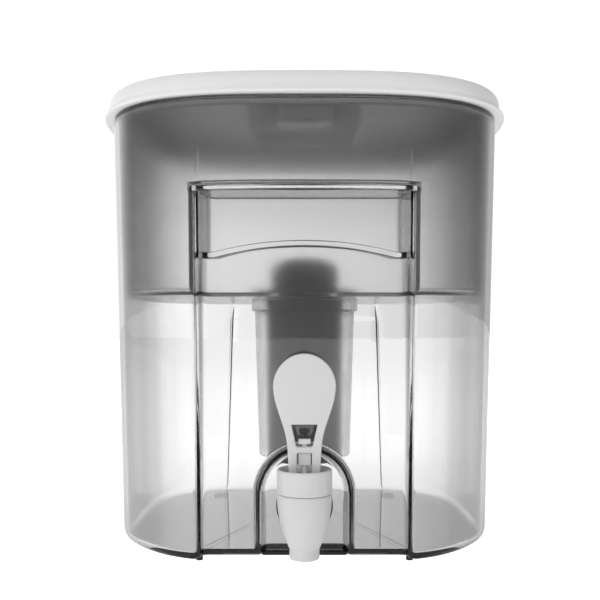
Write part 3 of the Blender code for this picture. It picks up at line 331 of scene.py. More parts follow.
def tank_skin(wall, pocket_rows, wall_rows):
    """Rings of the tank's outer skin (wall 0) or inner skin (wall 3 mm in), from the middle of the floor to the rim.
    Each row has a height, a share of the ledge passed, a share of the ceiling passed and an arch weight."""
    floor, ledge, ceiling = FLOOR_Z + wall, LEDGE_Z - wall, CEILING_Z + wall
    r, deep, long = SMALL_RADIUS, RECESS_Y - PANEL_Y, 0.0325
    body = np.clip((ends_side - np.arange(HALF_COLUMNS)) / 12.0, 0, 1)
    edge = FOOT_RADIUS + (TANK_EDGE_RADIUS - wall - FOOT_RADIUS) * smooth(body)
    start = floor + edge

    fan = np.concatenate([np.linspace(0, 1, 8)[:-1], np.ones(9)])
    turn = np.concatenate([np.zeros(7), quarter(9)])
    low_z = floor + edge[None, :] * (1 - np.cos(turn))[:, None]
    low_inset = edge[None, :] * (1 - np.sin(turn))[:, None]

    to = ledge - r
    k_pocket = np.linspace(0, 1, pocket_rows + 1)[1:] * (0.069 - floor) / (to - floor)
    k_wall = np.linspace(k_pocket[-1], 1, wall_rows + 1)[1:]
    k = np.concatenate([k_pocket, k_wall])[:, None]
    mid_z = start[None, :] + (to - start[None, :]) * k
    mid_w = smooth((k - 0.45) / 0.55)

    t = quarter(6)[1:]
    e = np.concatenate([r / deep * (1 - np.cos(t)), np.linspace(r / deep, 1 - r / deep, 5)[1:],
                        1 - r / deep * (1 - np.sin(t))])
    dz = np.concatenate([-r + r * np.sin(t), np.zeros(4), r * (1 - np.cos(t))]) + LEDGE_TILT * e
    up = np.linspace(0, 1, 11)[1:]
    up_z = ledge + r + LEDGE_TILT + (ceiling - r - ledge - r - LEDGE_TILT) * up
    c = np.concatenate([r / long * (1 - np.cos(t)), np.linspace(r / long, 1 - r / long, 8)[1:],
                        1 - r / long * (1 - np.sin(t))])
    cz = np.concatenate([ceiling - r + r * np.sin(t), np.full(7, ceiling), ceiling + r * (1 - np.cos(t))])
    top = np.linspace(0, 1, 13)[1:]
    top_z = ceiling + r + (RIM_Z - r - ceiling - r) * top
    rim_z = RIM_Z - r * (1 - np.sin(t))
    rim_inset = r * (1 - np.cos(t)) * (1 if wall == 0 else -1)

    def rows(column):
        return np.repeat(np.asarray(column, float)[:, None], HALF_COLUMNS, 1)

    z = np.concatenate([low_z, mid_z, rows(ledge + dz), rows(up_z), rows(cz), rows(top_z), rows(rim_z)])
    zero = [np.zeros(n) for n in (len(fan), len(k), len(e), len(up), len(c), len(top), len(t))]
    ledge_share = rows(np.concatenate([zero[0], zero[1], e] + [1 + q for q in zero[3:]]))
    ceiling_share = rows(np.concatenate(zero[:4] + [c] + [1 + q for q in zero[5:]]))
    arch = rows(np.concatenate([zero[0], mid_w[:, 0], 1 + zero[2], 1 - smooth(up), *zero[4:]]))
    more = np.concatenate([low_inset] + [rows(q) for q in zero[1:6]] + [rows(rim_inset)])
    across = np.zeros(HALF_COLUMNS)
    span = NICHE_HALF_WIDTH - 0.004
    x_ref = half_plan(np.full((1, HALF_COLUMNS), LEDGE_Z), *[np.zeros((1, HALF_COLUMNS))] * 2,
                      np.full((1, HALF_COLUMNS), PANEL_Y), *[np.zeros((1, HALF_COLUMNS))] * 2)[0][0]
    front = np.arange(HALF_COLUMNS) >= ends_side + LIP + WALL
    across[front] = LEDGE_RISE * np.clip(1 - (x_ref[front] / span) ** 2, 0, 1)
    z = z + arch * across[None, :]
    inset = wall + more
    grow = wall + np.where(np.arange(HALF_COLUMNS)[None, :] >= 0, more, 0)
    back = PANEL_Y + (RECESS_Y - PANEL_Y) * ledge_share
    x, y = half_plan(z, inset, grow, back, np.ones_like(z), ceiling_share, pocket_grow=wall)
    if wall > 0:  # two short upright guide ribs inside the front, over the niche's corners
        rib = np.exp(-((np.abs(x) - 0.0589) / 0.0006) ** 2) * smooth((z - 0.2105) / 0.002) * smooth((0.231 - z) / 0.006)
        y = y + np.where(y < 0, 0.00045 * rib, 0)
    hub = 0.06
    scale = np.concatenate([fan, np.ones(len(z) - len(fan))])[:, None]
    return whole_plan(x * scale, hub + (y - hub) * scale, z)


ends_side = REAR + STEP + SIDE


def pattern(tree, scale, detail=2.0, rough=0.5, stretch=(1.0, 1.0, 1.0)):
    """Noise on the object's own coordinates, in metres, stretched along its axes."""
    place = make_node(tree, "ShaderNodeTexCoord")
    shape = make_node(tree, "ShaderNodeMapping")
    shape.inputs["Scale"].default_value = stretch
    noise = make_node(tree, "ShaderNodeTexNoise", Scale=scale, Detail=detail, Roughness=rough)
    join_nodes(tree, place.outputs["Object"], shape.inputs["Vector"])
    join_nodes(tree, shape.outputs["Vector"], noise.inputs["Vector"])
    return noise.outputs["Fac"]


def ranged(tree, value, low, high, start=0.3, end=0.7):
    """The value's middle range spread between two numbers."""
    node = make_node(tree, "ShaderNodeMapRange")
    for socket, number in (("From Min", start), ("From Max", end), ("To Min", low), ("To Max", high)):
        node.inputs[socket].default_value = number
    join_nodes(tree, value, node.inputs["Value"])
    return node.outputs["Result"]


def bumped(tree, shader, height, depth, strength):
    node = make_node(tree, "ShaderNodeBump", Strength=strength, Distance=depth)
    join_nodes(tree, height, node.inputs["Height"])
    join_nodes(tree, node.outputs["Normal"], shader.inputs["Normal"])


def blank(name):
    finish = bpy.data.materials.new(name)
    finish.use_nodes = True
    return finish, finish.node_tree, finish.node_tree.nodes["Principled BSDF"]


# polished clear plastic: a slow ripple from the mould, and a faint haze where hands have wiped it
clear, tree, shader = blank("clear_styrene")
# Painted shade and painted reflection: the base colour falls from near white facing the eye to dark grey at grazing
# angles, standing in for the dark edges of the clear walls
slant = make_node(tree, "ShaderNodeLayerWeight", Blend=0.5)
depth = make_node(tree, "ShaderNodeValToRGB")
depth.color_ramp.interpolation = "EASE"
for element, (place_at, level) in zip(depth.color_ramp.elements, ((0.04, 0.955), (0.90, 0.08))):
    element.position, element.color = place_at, (level, level, level, 1.0)
for place_at, level in ((0.35, 0.80), (0.64, 0.45)):
    depth.color_ramp.elements.new(place_at).color = (level, level, level, 1.0)
join_nodes(tree, slant.outputs["Facing"], depth.inputs["Fac"])
join_nodes(tree, depth.outputs["Color"], shader.inputs["Base Color"])
shader.inputs["Transmission Weight"].default_value = 1.0
shader.inputs["IOR"].default_value = 1.50
join_nodes(tree, ranged(tree, pattern(tree, 55.0, 3.0), 0.0, 0.035), shader.inputs["Roughness"])
bumped(tree, shader, pattern(tree, 26.0, 1.0, 0.4, (1.0, 1.0, 0.8)), 0.0011, 0.03)

outer = tank_skin(0.0, 84, 20)
inner = tank_skin(TANK_WALL, 50, 14)
rings = np.concatenate([outer, inner[::-1]])
tank = mesh_piece("clear_tank", rings, grid_quads(*rings.shape[:2]), clear, 60.0)
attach(tank, "dispenser_base")
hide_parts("tank")


# ---------------------------------------------------------------- feet
# Black rubber studs pressed under the tank's corners, and a moulded rubber strip behind the spigot's pocket that
# keeps the tank from sliding when the lever is pushed.


def base_colour_mix(tree, shader, value, first, second):
    """Base colour between two colours, mixed by a value: random tone and weave on most finishes, painted shade on the
    frosted reservoir.
    """
    shade = make_node(tree, "ShaderNodeMix", data_type="RGBA")
    shade.inputs[6].default_value, shade.inputs[7].default_value = first, second
    join_nodes(tree, value, shade.inputs["Factor"])
    join_nodes(tree, shade.outputs[2], shader.inputs["Base Color"])


rubber, tree, shader = blank("black_rubber")
base_colour_mix(tree, shader, pattern(tree, 320.0, 4.0),
        (0.016, 0.016, 0.016, 1.0), (0.036, 0.036, 0.035, 1.0))
join_nodes(tree, ranged(tree, pattern(tree, 500.0, 3.0), 0.55, 0.8), shader.inputs["Roughness"])
bumped(tree, shader, pattern(tree, 2600.0, 2.0), 0.00006, 0.5)


def turned_rings(profile, steps, ripple=None):
    """A profile of (radius, height) points carried round an upright axis: x = r cos, y = r sin at equal angles.
    ripple gives a change of radius for every profile point and angle."""
    radius, height = np.array(profile, float).T
    turn = np.arange(steps) * 2 * pi / steps
    reach = radius[:, None] + (0 if ripple is None else ripple(radius[:, None], height[:, None], turn[None, :]))
    rise = np.repeat(height[:, None], steps, 1)
    return np.stack([reach * np.cos(turn), reach * np.sin(turn), rise], -1)


def rounded(corners, cuts=4):
    """A profile with its corners rounded: each corner is (radius, height, rounding), drawn as a quadratic curve
    between points that far before and after it."""
    points = []
    place = np.array([c[:2] for c in corners], float)
    for i, (here, rounding) in enumerate(zip(place, [c[2] for c in corners])):
        if rounding == 0 or i in (0, len(corners) - 1):
            points.append(here)
            continue
        before, after = place[i - 1] - here, place[i + 1] - here
        start = here + before * min(rounding / np.hypot(*before), 0.49)
        end = here + after * min(rounding / np.hypot(*after), 0.49)
        t = np.linspace(0, 1, cuts + 1)[:, None]
        points.extend((1 - t) ** 2 * start + 2 * t * (1 - t) * here + t ** 2 * end)
    return np.array(points)


for node in ("foot_front_left", "foot_front_right", "foot_rear_left", "foot_rear_right"):
    low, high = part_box(node)
    radius, top = (high.x - low.x) / 2, high.z
    dish = min(0.0004, radius / 6)
    stud = turned_rings(rounded([(0, dish, 0), (radius * 0.55, dish, dish), (radius * 0.7, 0, dish),
                                 (radius, 0, 0.0006), (radius * 0.97, top, 0.0005), (0, top, 0)]), 40)
    stud += np.array([(low.x + high.x) / 2, (low.y + high.y) / 2, 0.0])
    foot = mesh_piece("rubber_" + node, stud, grid_quads(*stud.shape[:2]), rubber)
    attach(foot, "dispenser_base")
    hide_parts(node)

low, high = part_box("front_foot_strip")
bar_angle = np.linspace(0, 2 * pi, 32, endpoint=False)
bar_power = 0.35
section_y = np.sign(np.cos(bar_angle)) * np.abs(np.cos(bar_angle)) ** bar_power
section_z = np.sign(np.sin(bar_angle)) * np.abs(np.sin(bar_angle)) ** bar_power
span = np.sin(np.linspace(-pi / 2, pi / 2, 101))
ribbed = 1 - 0.10 * (np.sin(np.linspace(-26 * pi, 26 * pi, 101)) > 0)
taper = np.clip((1 - span ** 40), 0, 1) ** 0.3
strip = np.stack([
    np.repeat(((low.x + high.x) / 2 + (high.x - low.x) / 2 * span)[:, None], 32, 1),
    (low.y + high.y) / 2 + (high.y - low.y) / 2 * taper[:, None] * section_y[None, :],
    high.z / 2 + high.z / 2 * taper[:, None] * section_z[None, :] * np.where(section_z < 0, 1.0, ribbed[:, None]),
], -1)
strip_piece = mesh_piece("rubber_strip", strip, grid_quads(*strip.shape[:2]), rubber)
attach(strip_piece, "dispenser_base")
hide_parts("front_foot_strip")

# ---------------------------------------------------------------- the reservoir
# A finely frosted tub of the same plan, 2 mm thick, that hangs in the tank's mouth by its flange. It is
# notched over the niche and has a long tapered sleeve for the filter moulded into its floor. Its smoke-grey, darker
# towards its top and sides, is painted shade for the lid's shadow and the dim room seen through it.

RESERVOIR_INSET = 0.0036
RESERVOIR_WALL = 0.0020
RESERVOIR_FLOOR_Z = 0.1495
FLANGE_TOP_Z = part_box("reservoir")[1].z
FLANGE_LOW_Z = FLANGE_TOP_Z - 0.0018
SLEEVE_LOW_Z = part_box("reservoir")[0].z
SLEEVE_Y = (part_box("filter_body")[0].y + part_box("filter_body")[1].y) / 2 - MIDDLE.y
SLEEVE_TOP_RADIUS, SLEEVE_LOW_RADIUS = 0.0340, 0.0310
COLLAR_RADIUS, COLLAR_HEIGHT = 0.0362, 0.0065


def tub_level(z, inset, grow, closed=0.0):
    """One ring of the reservoir: the tank's plan set in, with the straight notch for the niche."""
    full = np.ones((1, HALF_COLUMNS))
    x, y = half_plan(full * z, full * inset, full * grow, full * RECESS_Y, full * 0, full * closed, corner=0.0006)
    return whole_plan(x, y, full * z)[0]


def to_circle(ring, radius, z, steps, mid_z=None):
    """Rings that lead from a notched ring to a circle round the sleeve's axis, by way of an oval that stays behind
    the notch, so that no ring crosses the notch."""
    centre = np.array([0.0, SLEEVE_Y + MIDDLE.y])
    flat = ring[:, :2]
    x, y = flat[:, 0], flat[:, 1] - MIDDLE.y
    front = np.abs(x) * 0.94
    mid_x = np.sign(x) * np.minimum(front, 0.092)
    mid_y = np.where(y > 0, y * 0.82, 0)
    oval = 0.020 - 0.079 * (1 - np.abs(mid_x / 0.098) ** 4) ** 0.25
    mid_y = np.where(y > 0, mid_y, np.maximum(oval, np.minimum(y * 0.82, 0)))
    mid = np.stack([mid_x, mid_y + MIDDLE.y], -1)
    away = mid - centre
    turn = np.arctan2(away[:, 1], away[:, 0])
    circle = centre + radius * np.stack([np.cos(turn), np.sin(turn)], -1)
    t1, t2 = np.linspace(0, 1, steps + 1)[1:, None, None], np.linspace(0, 1, steps + 1)[1:, None, None]
    out = np.concatenate([flat + (mid - flat) * t1, mid + (circle - mid) * t2])
    level = np.full(out.shape[:2] + (1,), z)
    return np.concatenate([out, level], -1), circle


def reservoir_skin(inset, floor, ceiling, top, edge, wall_rows):
    """Rings from the rounded lower edge of a reservoir skin up to its top, over the notch's ceiling."""
    rows = []
    for t in quarter(7):
        rows.append(tub_level(floor + edge * (1 - np.cos(t)), inset + edge * (1 - np.sin(t)), inset + 0.0))
    for z in np.linspace(floor + edge, ceiling - 0.001, wall_rows)[1:]:
        rows.append(tub_level(z, inset, inset))
    for t in quarter(5)[1:]:
        rows.append(tub_level(ceiling - 0.001 + 0.001 * np.sin(t), inset, inset, 0.03 * (1 - np.cos(t))))
    for c in np.linspace(0.03, 0.97, 8)[1:]:
        rows.append(tub_level(ceiling, inset, inset, c))
    for t in quarter(5)[1:]:
        rows.append(tub_level(ceiling + 0.001 * (1 - np.cos(t)), inset, inset, 0.97 + 0.03 * np.sin(t)))
    for z in np.linspace(ceiling + 0.001, top, wall_rows)[1:]:
        rows.append(tub_level(z, inset, inset, 1.0))
    return np.array(rows)


def at_circle(circle, profile):
    """Rings on the sleeve: the circle's directions scaled to each (radius, height) of a profile."""
    centre = np.array([0.0, SLEEVE_Y + MIDDLE.y])
    away = (circle - centre) / np.linalg.norm(circle - centre, axis=1)[:, None]
    return np.array([np.column_stack([centre + away * r, np.full(len(circle), z)]) for r, z in profile])


shaded_frost, tree, shader = blank("frosted_painted_shade")
# Painted shade: the base colour darkens from near white beside the niche to grey towards the tub's sides and top, set
# by object coordinates, for the lid's shadow and the dim room seen through the frosted walls
place = make_node(tree, "ShaderNodeTexCoord")
spot = make_node(tree, "ShaderNodeSeparateXYZ")
join_nodes(tree, place.outputs["Object"], spot.inputs["Vector"])
across = make_node(tree, "ShaderNodeMath", operation="ABSOLUTE")
join_nodes(tree, spot.outputs["X"], across.inputs[0])
sides = ranged(tree, across.outputs["Value"], 0.0, 0.75, NICHE_HALF_WIDTH + 0.004, TANK_HALF_WIDTH)
upper = ranged(tree, spot.outputs["Z"], 0.0, 0.80, CEILING_Z - 0.004, CEILING_Z + 0.022)
painted_shade = make_node(tree, "ShaderNodeMath", operation="ADD", use_clamp=True)
join_nodes(tree, sides, painted_shade.inputs[0])
join_nodes(tree, upper, painted_shade.inputs[1])
base_colour_mix(tree, shader, painted_shade.outputs["Value"],
        (0.985, 0.985, 0.985, 1.0), (0.75, 0.75, 0.755, 1.0))
shader.inputs["Transmission Weight"].default_value = 1.0
shader.inputs["IOR"].default_value = 1.46
join_nodes(tree, ranged(tree, pattern(tree, 90.0, 4.0), 0.22, 0.27), shader.inputs["Roughness"])
bumped(tree, shader, pattern(tree, 2200.0, 2.0), 0.00003, 0.25)

inner_inset = RESERVOIR_INSET + RESERVOIR_WALL
floor_top = RESERVOIR_FLOOR_Z + RESERVOIR_WALL + 0.0005
outer = reservoir_skin(RESERVOIR_INSET, RESERVOIR_FLOOR_Z, CEILING_Z + RESERVOIR_INSET,
                       FLANGE_LOW_Z - 0.0004, 0.003, 16)
inner = reservoir_skin(inner_inset, floor_top, CEILING_Z + inner_inset, FLANGE_TOP_Z - 0.0005, 0.002, 14)
flange = np.array([tub_level(z, inset, inset, 1.0) for inset, z in (
    (RESERVOIR_INSET, FLANGE_LOW_Z - 0.0001), (RESERVOIR_INSET - 0.0003, FLANGE_LOW_Z), (0.0010, FLANGE_LOW_Z),
    (0.0006, FLANGE_LOW_Z + 0.0002), (0.0005, FLANGE_LOW_Z + 0.0009), (0.0006, FLANGE_TOP_Z - 0.0002),
    (0.0010, FLANGE_TOP_Z), (inner_inset - 0.0005, FLANGE_TOP_Z), (inner_inset - 0.0001, FLANGE_TOP_Z - 0.0002))])
below, circle = to_circle(outer[0], COLLAR_RADIUS, RESERVOIR_FLOOR_Z, 7)
above, _ = to_circle(inner[0], SLEEVE_TOP_RADIUS - RESERVOIR_WALL, floor_top, 7)
low_z = RESERVOIR_FLOOR_Z - COLLAR_HEIGHT
sleeve_outside = at_circle(circle, rounded([
    (COLLAR_RADIUS, RESERVOIR_FLOOR_Z, 0), (COLLAR_RADIUS, low_z, 0.0006), (SLEEVE_TOP_RADIUS, low_z - 0.0008, 0.0005),
    *[(SLEEVE_TOP_RADIUS + (SLEEVE_LOW_RADIUS - SLEEVE_TOP_RADIUS) * k,
       low_z - 0.001 + (SLEEVE_LOW_Z - low_z + 0.001) * k, 0) for k in np.linspace(0.05, 0.95, 12)],
    (SLEEVE_LOW_RADIUS, SLEEVE_LOW_Z, 0.0007), (SLEEVE_LOW_RADIUS - RESERVOIR_WALL, SLEEVE_LOW_Z, 0.0007),
    *[(SLEEVE_LOW_RADIUS + (SLEEVE_TOP_RADIUS - SLEEVE_LOW_RADIUS) * k - RESERVOIR_WALL,
       SLEEVE_LOW_Z + (low_z - SLEEVE_LOW_Z) * k, 0) for k in np.linspace(0.05, 1.0, 12)],
    (SLEEVE_TOP_RADIUS - RESERVOIR_WALL, floor_top, 0.001)], 5))
rings = np.concatenate([inner[::-1], above, sleeve_outside[::-1], below[::-1], outer, flange])
reservoir = mesh_piece("frosted_reservoir", rings, grid_quads(*rings.shape[:2], loop=True), shaded_frost, 50.0)
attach(reservoir, "reservoir")
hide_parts("reservoir")

# ---------------------------------------------------------------- the filter cartridge
# A black cartridge dropped into the sleeve: a tapered barrel with a flange on a rubber seal, and a domed cap with
# inlet slots. Charcoal and resin beads fill it, held by a woven screen.

black, tree, shader = blank("cartridge_black")
base_colour_mix(tree, shader, pattern(tree, 240.0, 4.0),
        (0.120, 0.120, 0.123, 1.0), (0.165, 0.165, 0.169, 1.0))
join_nodes(tree, ranged(tree, pattern(tree, 420.0, 3.0), 0.38, 0.55), shader.inputs["Roughness"])
bumped(tree, shader, pattern(tree, 3200.0, 2.0), 0.00005, 0.35)


def turned_piece(name, profile, centre, finish, node, body, steps=96, loop=False, ripple=None, angle=40.0):
    """A turned piece on an upright axis through a centre, standing for one CAD node."""
    rings = turned_rings(profile, steps, ripple) + np.array(centre)
    piece = mesh_piece(name, rings, grid_quads(*rings.shape[:2], loop=loop), finish, angle)
    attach(piece, body)
    if node:
        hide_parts(node)
    return piece


low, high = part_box("filter_body")
axis = ((low.x + high.x) / 2, (low.y + high.y) / 2, 0.0)
foot, neck_top, flange_radius = low.z, high.z, (high.x - low.x) / 2
flange_low, flange_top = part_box("filter_seal")[1].z + 0.0003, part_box("filter_cap")[0].z - 0.0003
body_radius, neck_radius = 0.0262, 0.0209


def outlets(radius, height, turn):
    """Six shallow flats round the foot of the barrel."""
    return -0.0006 * smooth((foot + 0.008 - height) / 0.004) * (np.cos(6 * turn) > 0.2) * (radius > 0.02)


turned_piece("cartridge_barrel", rounded([
    (0, foot, 0), (body_radius - 0.002, foot, 0.0008), (body_radius - 0.0008, foot + 0.0012, 0.0008),
    *[(body_radius - 0.0008 + 0.0008 * k, foot + 0.002 + (flange_low - foot - 0.004) * k, 0)
      for k in np.linspace(0, 1, 14)],
    (body_radius, flange_low, 0.0008), (flange_radius, flange_low, 0.0004), (flange_radius, flange_top, 0.0004),
    (neck_radius, flange_top, 0.0005), (neck_radius, neck_top, 0.0004), (neck_radius - 0.0018, neck_top, 0.0004),
    (neck_radius - 0.0018, neck_top - 0.012, 0.001), (body_radius - 0.0026, foot + 0.0025, 0.0004),
    (0, foot + 0.0025, 0)]), axis, black, "filter_body", "filter", ripple=outlets)

low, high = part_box("filter_cap")
cap_radius, cap_low, cap_high = (high.x - low.x) / 2, low.z, high.z
dome = [(cap_radius * np.cos(t), cap_high - 0.010 + 0.010 * np.sin(t)) for t in np.linspace(pi / 2, 0, 15)]
side = [(cap_radius, cap_high - 0.010 - (cap_high - 0.010 - cap_low) * k) for k in np.linspace(0.05, 1, 24)]
inside = [((cap_radius - 0.0018) * np.cos(t), cap_high - 0.010 + 0.0082 * np.sin(t))
          for t in np.linspace(0, pi / 2, 12)]


def inlet_slots(radius, height, turn):
    """Six deep pockets round the cap's side, each a smooth-edged rectangle in angle and height."""
    across = smooth((0.0019 / cap_radius * 1.6 - np.abs(np.mod(turn, pi / 3) - pi / 6)) / 0.025)
    upright = smooth((height - cap_low - 0.0075) / 0.0008) * smooth((cap_low + 0.013 - height) / 0.0008)
    return -0.0014 * across * upright * (radius > cap_radius - 0.0005)


turned_piece("cartridge_cap", np.array(dome + side + [(cap_radius - 0.0018, cap_low)] + inside), axis, black,
             "filter_cap", "filter", steps=180, ripple=inlet_slots)

low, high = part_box("filter_seal")
outer_radius = (high.x - low.x) / 2
turned_piece("cartridge_seal", rounded([
    (outer_radius - 0.0030, low.z, 0), (outer_radius - 0.0004, low.z, 0.0004),
    (outer_radius, (low.z + high.z) / 2, 0.0006),
    (outer_radius - 0.0004, high.z, 0.0004), (outer_radius - 0.0033, high.z, 0.0003),
    (outer_radius - 0.0033, low.z, 0)]),
    (axis[0], axis[1], 0), rubber, "filter_seal", "filter", loop=True)

carbon, tree, shader = blank("charcoal_and_resin")
place = make_node(tree, "ShaderNodeTexCoord")
grains = make_node(tree, "ShaderNodeTexVoronoi", Scale=1400.0)
join_nodes(tree, place.outputs["Object"], grains.inputs["Vector"])
ramp = make_node(tree, "ShaderNodeValToRGB")
ramp.color_ramp.elements[0].color = (0.012, 0.012, 0.013, 1.0)
ramp.color_ramp.elements[0].position = 0.35
ramp.color_ramp.elements[1].color = (0.35, 0.30, 0.20, 1.0)
ramp.color_ramp.elements[1].position = 0.92
split = make_node(tree, "ShaderNodeSeparateColor")
join_nodes(tree, grains.outputs["Color"], split.inputs["Color"])
join_nodes(tree, split.outputs["Red"], ramp.inputs["Fac"])
join_nodes(tree, ramp.outputs["Color"], shader.inputs["Base Color"])
join_nodes(tree, ranged(tree, pattern(tree, 700.0), 0.5, 0.9), shader.inputs["Roughness"])
bumped(tree, shader, grains.outputs["Distance"], 0.0004, 0.8)

mesh_grey, tree, shader = blank("woven_screen")
place = make_node(tree, "ShaderNodeTexCoord")
warp = make_node(tree, "ShaderNodeTexWave", Scale=620.0, bands_direction="X")
weft = make_node(tree, "ShaderNodeTexWave", Scale=620.0, bands_direction="Y")
for wave in (warp, weft):
    join_nodes(tree, place.outputs["Object"], wave.inputs["Vector"])
weave = make_node(tree, "ShaderNodeMath", operation="MAXIMUM")
join_nodes(tree, warp.outputs["Fac"], weave.inputs[0])
join_nodes(tree, weft.outputs["Fac"], weave.inputs[1])
base_colour_mix(tree, shader, weave.outputs["Value"],
        (0.08, 0.08, 0.08, 1.0), (0.58, 0.59, 0.59, 1.0))
join_nodes(tree, ranged(tree, pattern(tree, 600.0), 0.5, 0.7), shader.inputs["Roughness"])
bumped(tree, shader, weave.outputs["Value"], 0.0002, 0.7)


def refinish(node, finish):
    """Gives a CAD node that keeps its own shape a new finish in every slot."""
    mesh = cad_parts[node].data
    mesh.materials.clear()
    mesh.materials.append(finish)


refinish("filter_media", carbon)
refinish("filter_screen", mesh_grey)

# ---------------------------------------------------------------- the lid
# A white satin cap, moulded 2.4 mm thick: its flared lip covers the tank's rim, a rib under it plugs the reservoir's
# mouth, and its top has a framed opening for the fill door with a finger well in front.

white, tree, shader = blank("satin_white")
base_colour_mix(tree, shader, pattern(tree, 60.0, 4.0),
        (0.80, 0.80, 0.795, 1.0), (0.83, 0.83, 0.825, 1.0))
shader.inputs["Subsurface Weight"].default_value = 0.08
shader.inputs["Subsurface Radius"].default_value = (0.004, 0.004, 0.004)
join_nodes(tree, ranged(tree, pattern(tree, 130.0, 4.0), 0.34, 0.46), shader.inputs["Roughness"])
bumped(tree, shader, pattern(tree, 2800.0, 2.0), 0.00004, 0.30)

LID_Z = FLANGE_TOP_Z + 0.0003
LID_TOP_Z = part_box("lid")[1].z
LID_HEIGHT = LID_TOP_Z - LID_Z
LID_UNDER_Z = LID_TOP_Z - 0.0024
LIP_X = (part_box("lid")[1].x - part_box("lid")[0].x) / 2 - TANK_HALF_WIDTH
LIP_Y = 0.0030
WALL_X, WALL_Y = 0.0026, 0.0022
DOOR_HALF = 0.0350
DOOR_FRONT_Y = -TANK_HALF_DEPTH + 0.0330
HINGE_Y, HINGE_Z = DOOR_FRONT_Y + 0.0600, LID_TOP_Z - 0.0044
SEAT_HALF, SEAT_FRONT, SEAT_BACK = DOOR_HALF + 0.0005, DOOR_FRONT_Y - 0.0006, HINGE_Y + 0.0058
WELL_HALF, WELL_FRONT = 0.0142, DOOR_FRONT_Y - 0.0202
COLLAR_LOW_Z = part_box("lid")[0].z


def outline(corners, spacing):
    """Points along a closed polygon whose corners (x, y, rounding) are rounded with a quadratic curve."""
    points = []
    place = np.array([c[:2] for c in corners], float)
    count = len(corners)
    for i in range(count):
        here, after, r, next_r = place[i], place[(i + 1) % count], corners[i][2], corners[(i + 1) % count][2]
        before = place[i - 1]
        back, on = (before - here) / np.hypot(*(before - here)), (after - here) / np.hypot(*(after - here))
        t = np.linspace(0, 1, 6)[:, None]
        points.append((1 - t) ** 2 * (here + back * r) + 2 * t * (1 - t) * here + t ** 2 * (here + on * r))
        length = np.hypot(*(after - here)) - r - next_r
        n = max(int(length / spacing), 2)
        t = np.linspace(0, 1, n + 1)[1:-1, None]
        points.append(here + on * (r + length * t))
    return np.concatenate(points)


mouth = outline([(SEAT_HALF, SEAT_BACK, 0.001), (SEAT_HALF, SEAT_FRONT, 0.001), (WELL_HALF, SEAT_FRONT, 0.0008),
                 (WELL_HALF, WELL_FRONT, 0.0025), (-WELL_HALF, WELL_FRONT, 0.0025), (-WELL_HALF, SEAT_FRONT, 0.0008),
                 (-SEAT_HALF, SEAT_FRONT, 0.001), (-SEAT_HALF, SEAT_BACK, 0.001)], 0.0011)
mouth_middle = np.array([0.0, (SEAT_FRONT + SEAT_BACK) / 2])


def lid_oval(out_x, out_y, power):
    """The point where a ray from the door's middle through each point of the opening's edge meets the lid's oval,
    |x/a|^p + |y/b|^p = 1, found by halving."""
    a, b = TANK_HALF_WIDTH + out_x, TANK_HALF_DEPTH + out_y
    ray = mouth - mouth_middle
    ray = ray / np.linalg.norm(ray, axis=1)[:, None]
    near, far = np.zeros(len(ray)), np.full(len(ray), 0.3)
    for _ in range(40):
        half = (near + far) / 2
        spot = mouth_middle + ray * half[:, None]
        within = np.abs(spot[:, 0] / a) ** power + np.abs(spot[:, 1] / b) ** power < 1
        near, far = np.where(within, half, near), np.where(within, far, half)
    return mouth_middle + ray * near[:, None]


def lid_level(flat, z):
    return np.column_stack([flat[:, 0], flat[:, 1] + MIDDLE.y, np.broadcast_to(z, len(flat))])


PLUG, RIB, SKIN = -0.0064, -0.0082, WALL_X - 0.0024
profile = [(LIP_X - 0.0012, LIP_Y - 0.0008, 2.85, 0.0), (LIP_X - 0.0004, LIP_Y - 0.0004, 2.85, 0.0003),
           (LIP_X - 0.0001, LIP_Y - 0.0001, 2.85, 0.0009), (LIP_X, LIP_Y, 2.85, 0.0014),
           (LIP_X - 0.0003, LIP_Y - 0.0001, 2.87, 0.0019), (LIP_X - 0.0014, LIP_Y - 0.0003, 2.90, 0.0026),
           (LIP_X - 0.0026, LIP_Y - 0.0006, 2.96, 0.0036), (WALL_X + 0.0003, WALL_Y + 0.00005, 3.03, 0.0044),
           (WALL_X, WALL_Y, 3.05, 0.0052)]
knots = np.array([(0.42, 0.0), (0.50, 0.0001), (0.60, 0.0002), (0.70, 0.0005), (0.78, 0.0009), (0.86, 0.0016),
                  (0.92, 0.0025), (0.96, 0.0036), (0.985, 0.0049), (0.996, 0.0063), (1.0, 0.0080)])
profile += [(WALL_X - k_in, WALL_Y - k_in, 3.05, LID_HEIGHT * k_up) for k_up, k_in in knots]
rings = [lid_level(lid_oval(PLUG, PLUG, 3.1), LID_Z - 0.0043), lid_level(lid_oval(PLUG, PLUG, 3.1), LID_Z - 0.0004),
         lid_level(lid_oval(PLUG + 0.0004, PLUG + 0.0004, 3.1), LID_Z)]
rings += [lid_level(lid_oval(x, y, p), LID_Z + z) for x, y, p, z in profile]
last = lid_oval(WALL_X - 0.0080, WALL_Y - 0.0080, 3.05)
rings += [lid_level(last + (mouth - last) * k, LID_TOP_Z) for k in np.linspace(0, 1, 12)[1:-1]]
away = (last - mouth) / np.linalg.norm(last - mouth, axis=1)[:, None]
rings += [lid_level(mouth + away * 0.0006 * (1 - np.sin(t)), LID_TOP_Z - 0.0006 * (1 - np.cos(t))) for t in quarter(5)]
rings += [lid_level(mouth, LID_TOP_Z - d) for d in (0.0012, 0.0020, 0.0050)]
rings += [lid_level(mouth + away * 0.0020, LID_TOP_Z - 0.0050), lid_level(mouth + away * 0.0021, LID_UNDER_Z)]
under = lid_oval(SKIN - 0.008, SKIN - 0.008, 3.1)
rings += [lid_level(mouth + (under - mouth) * k, LID_UNDER_Z) for k in (0.3, 0.6, 0.9)]
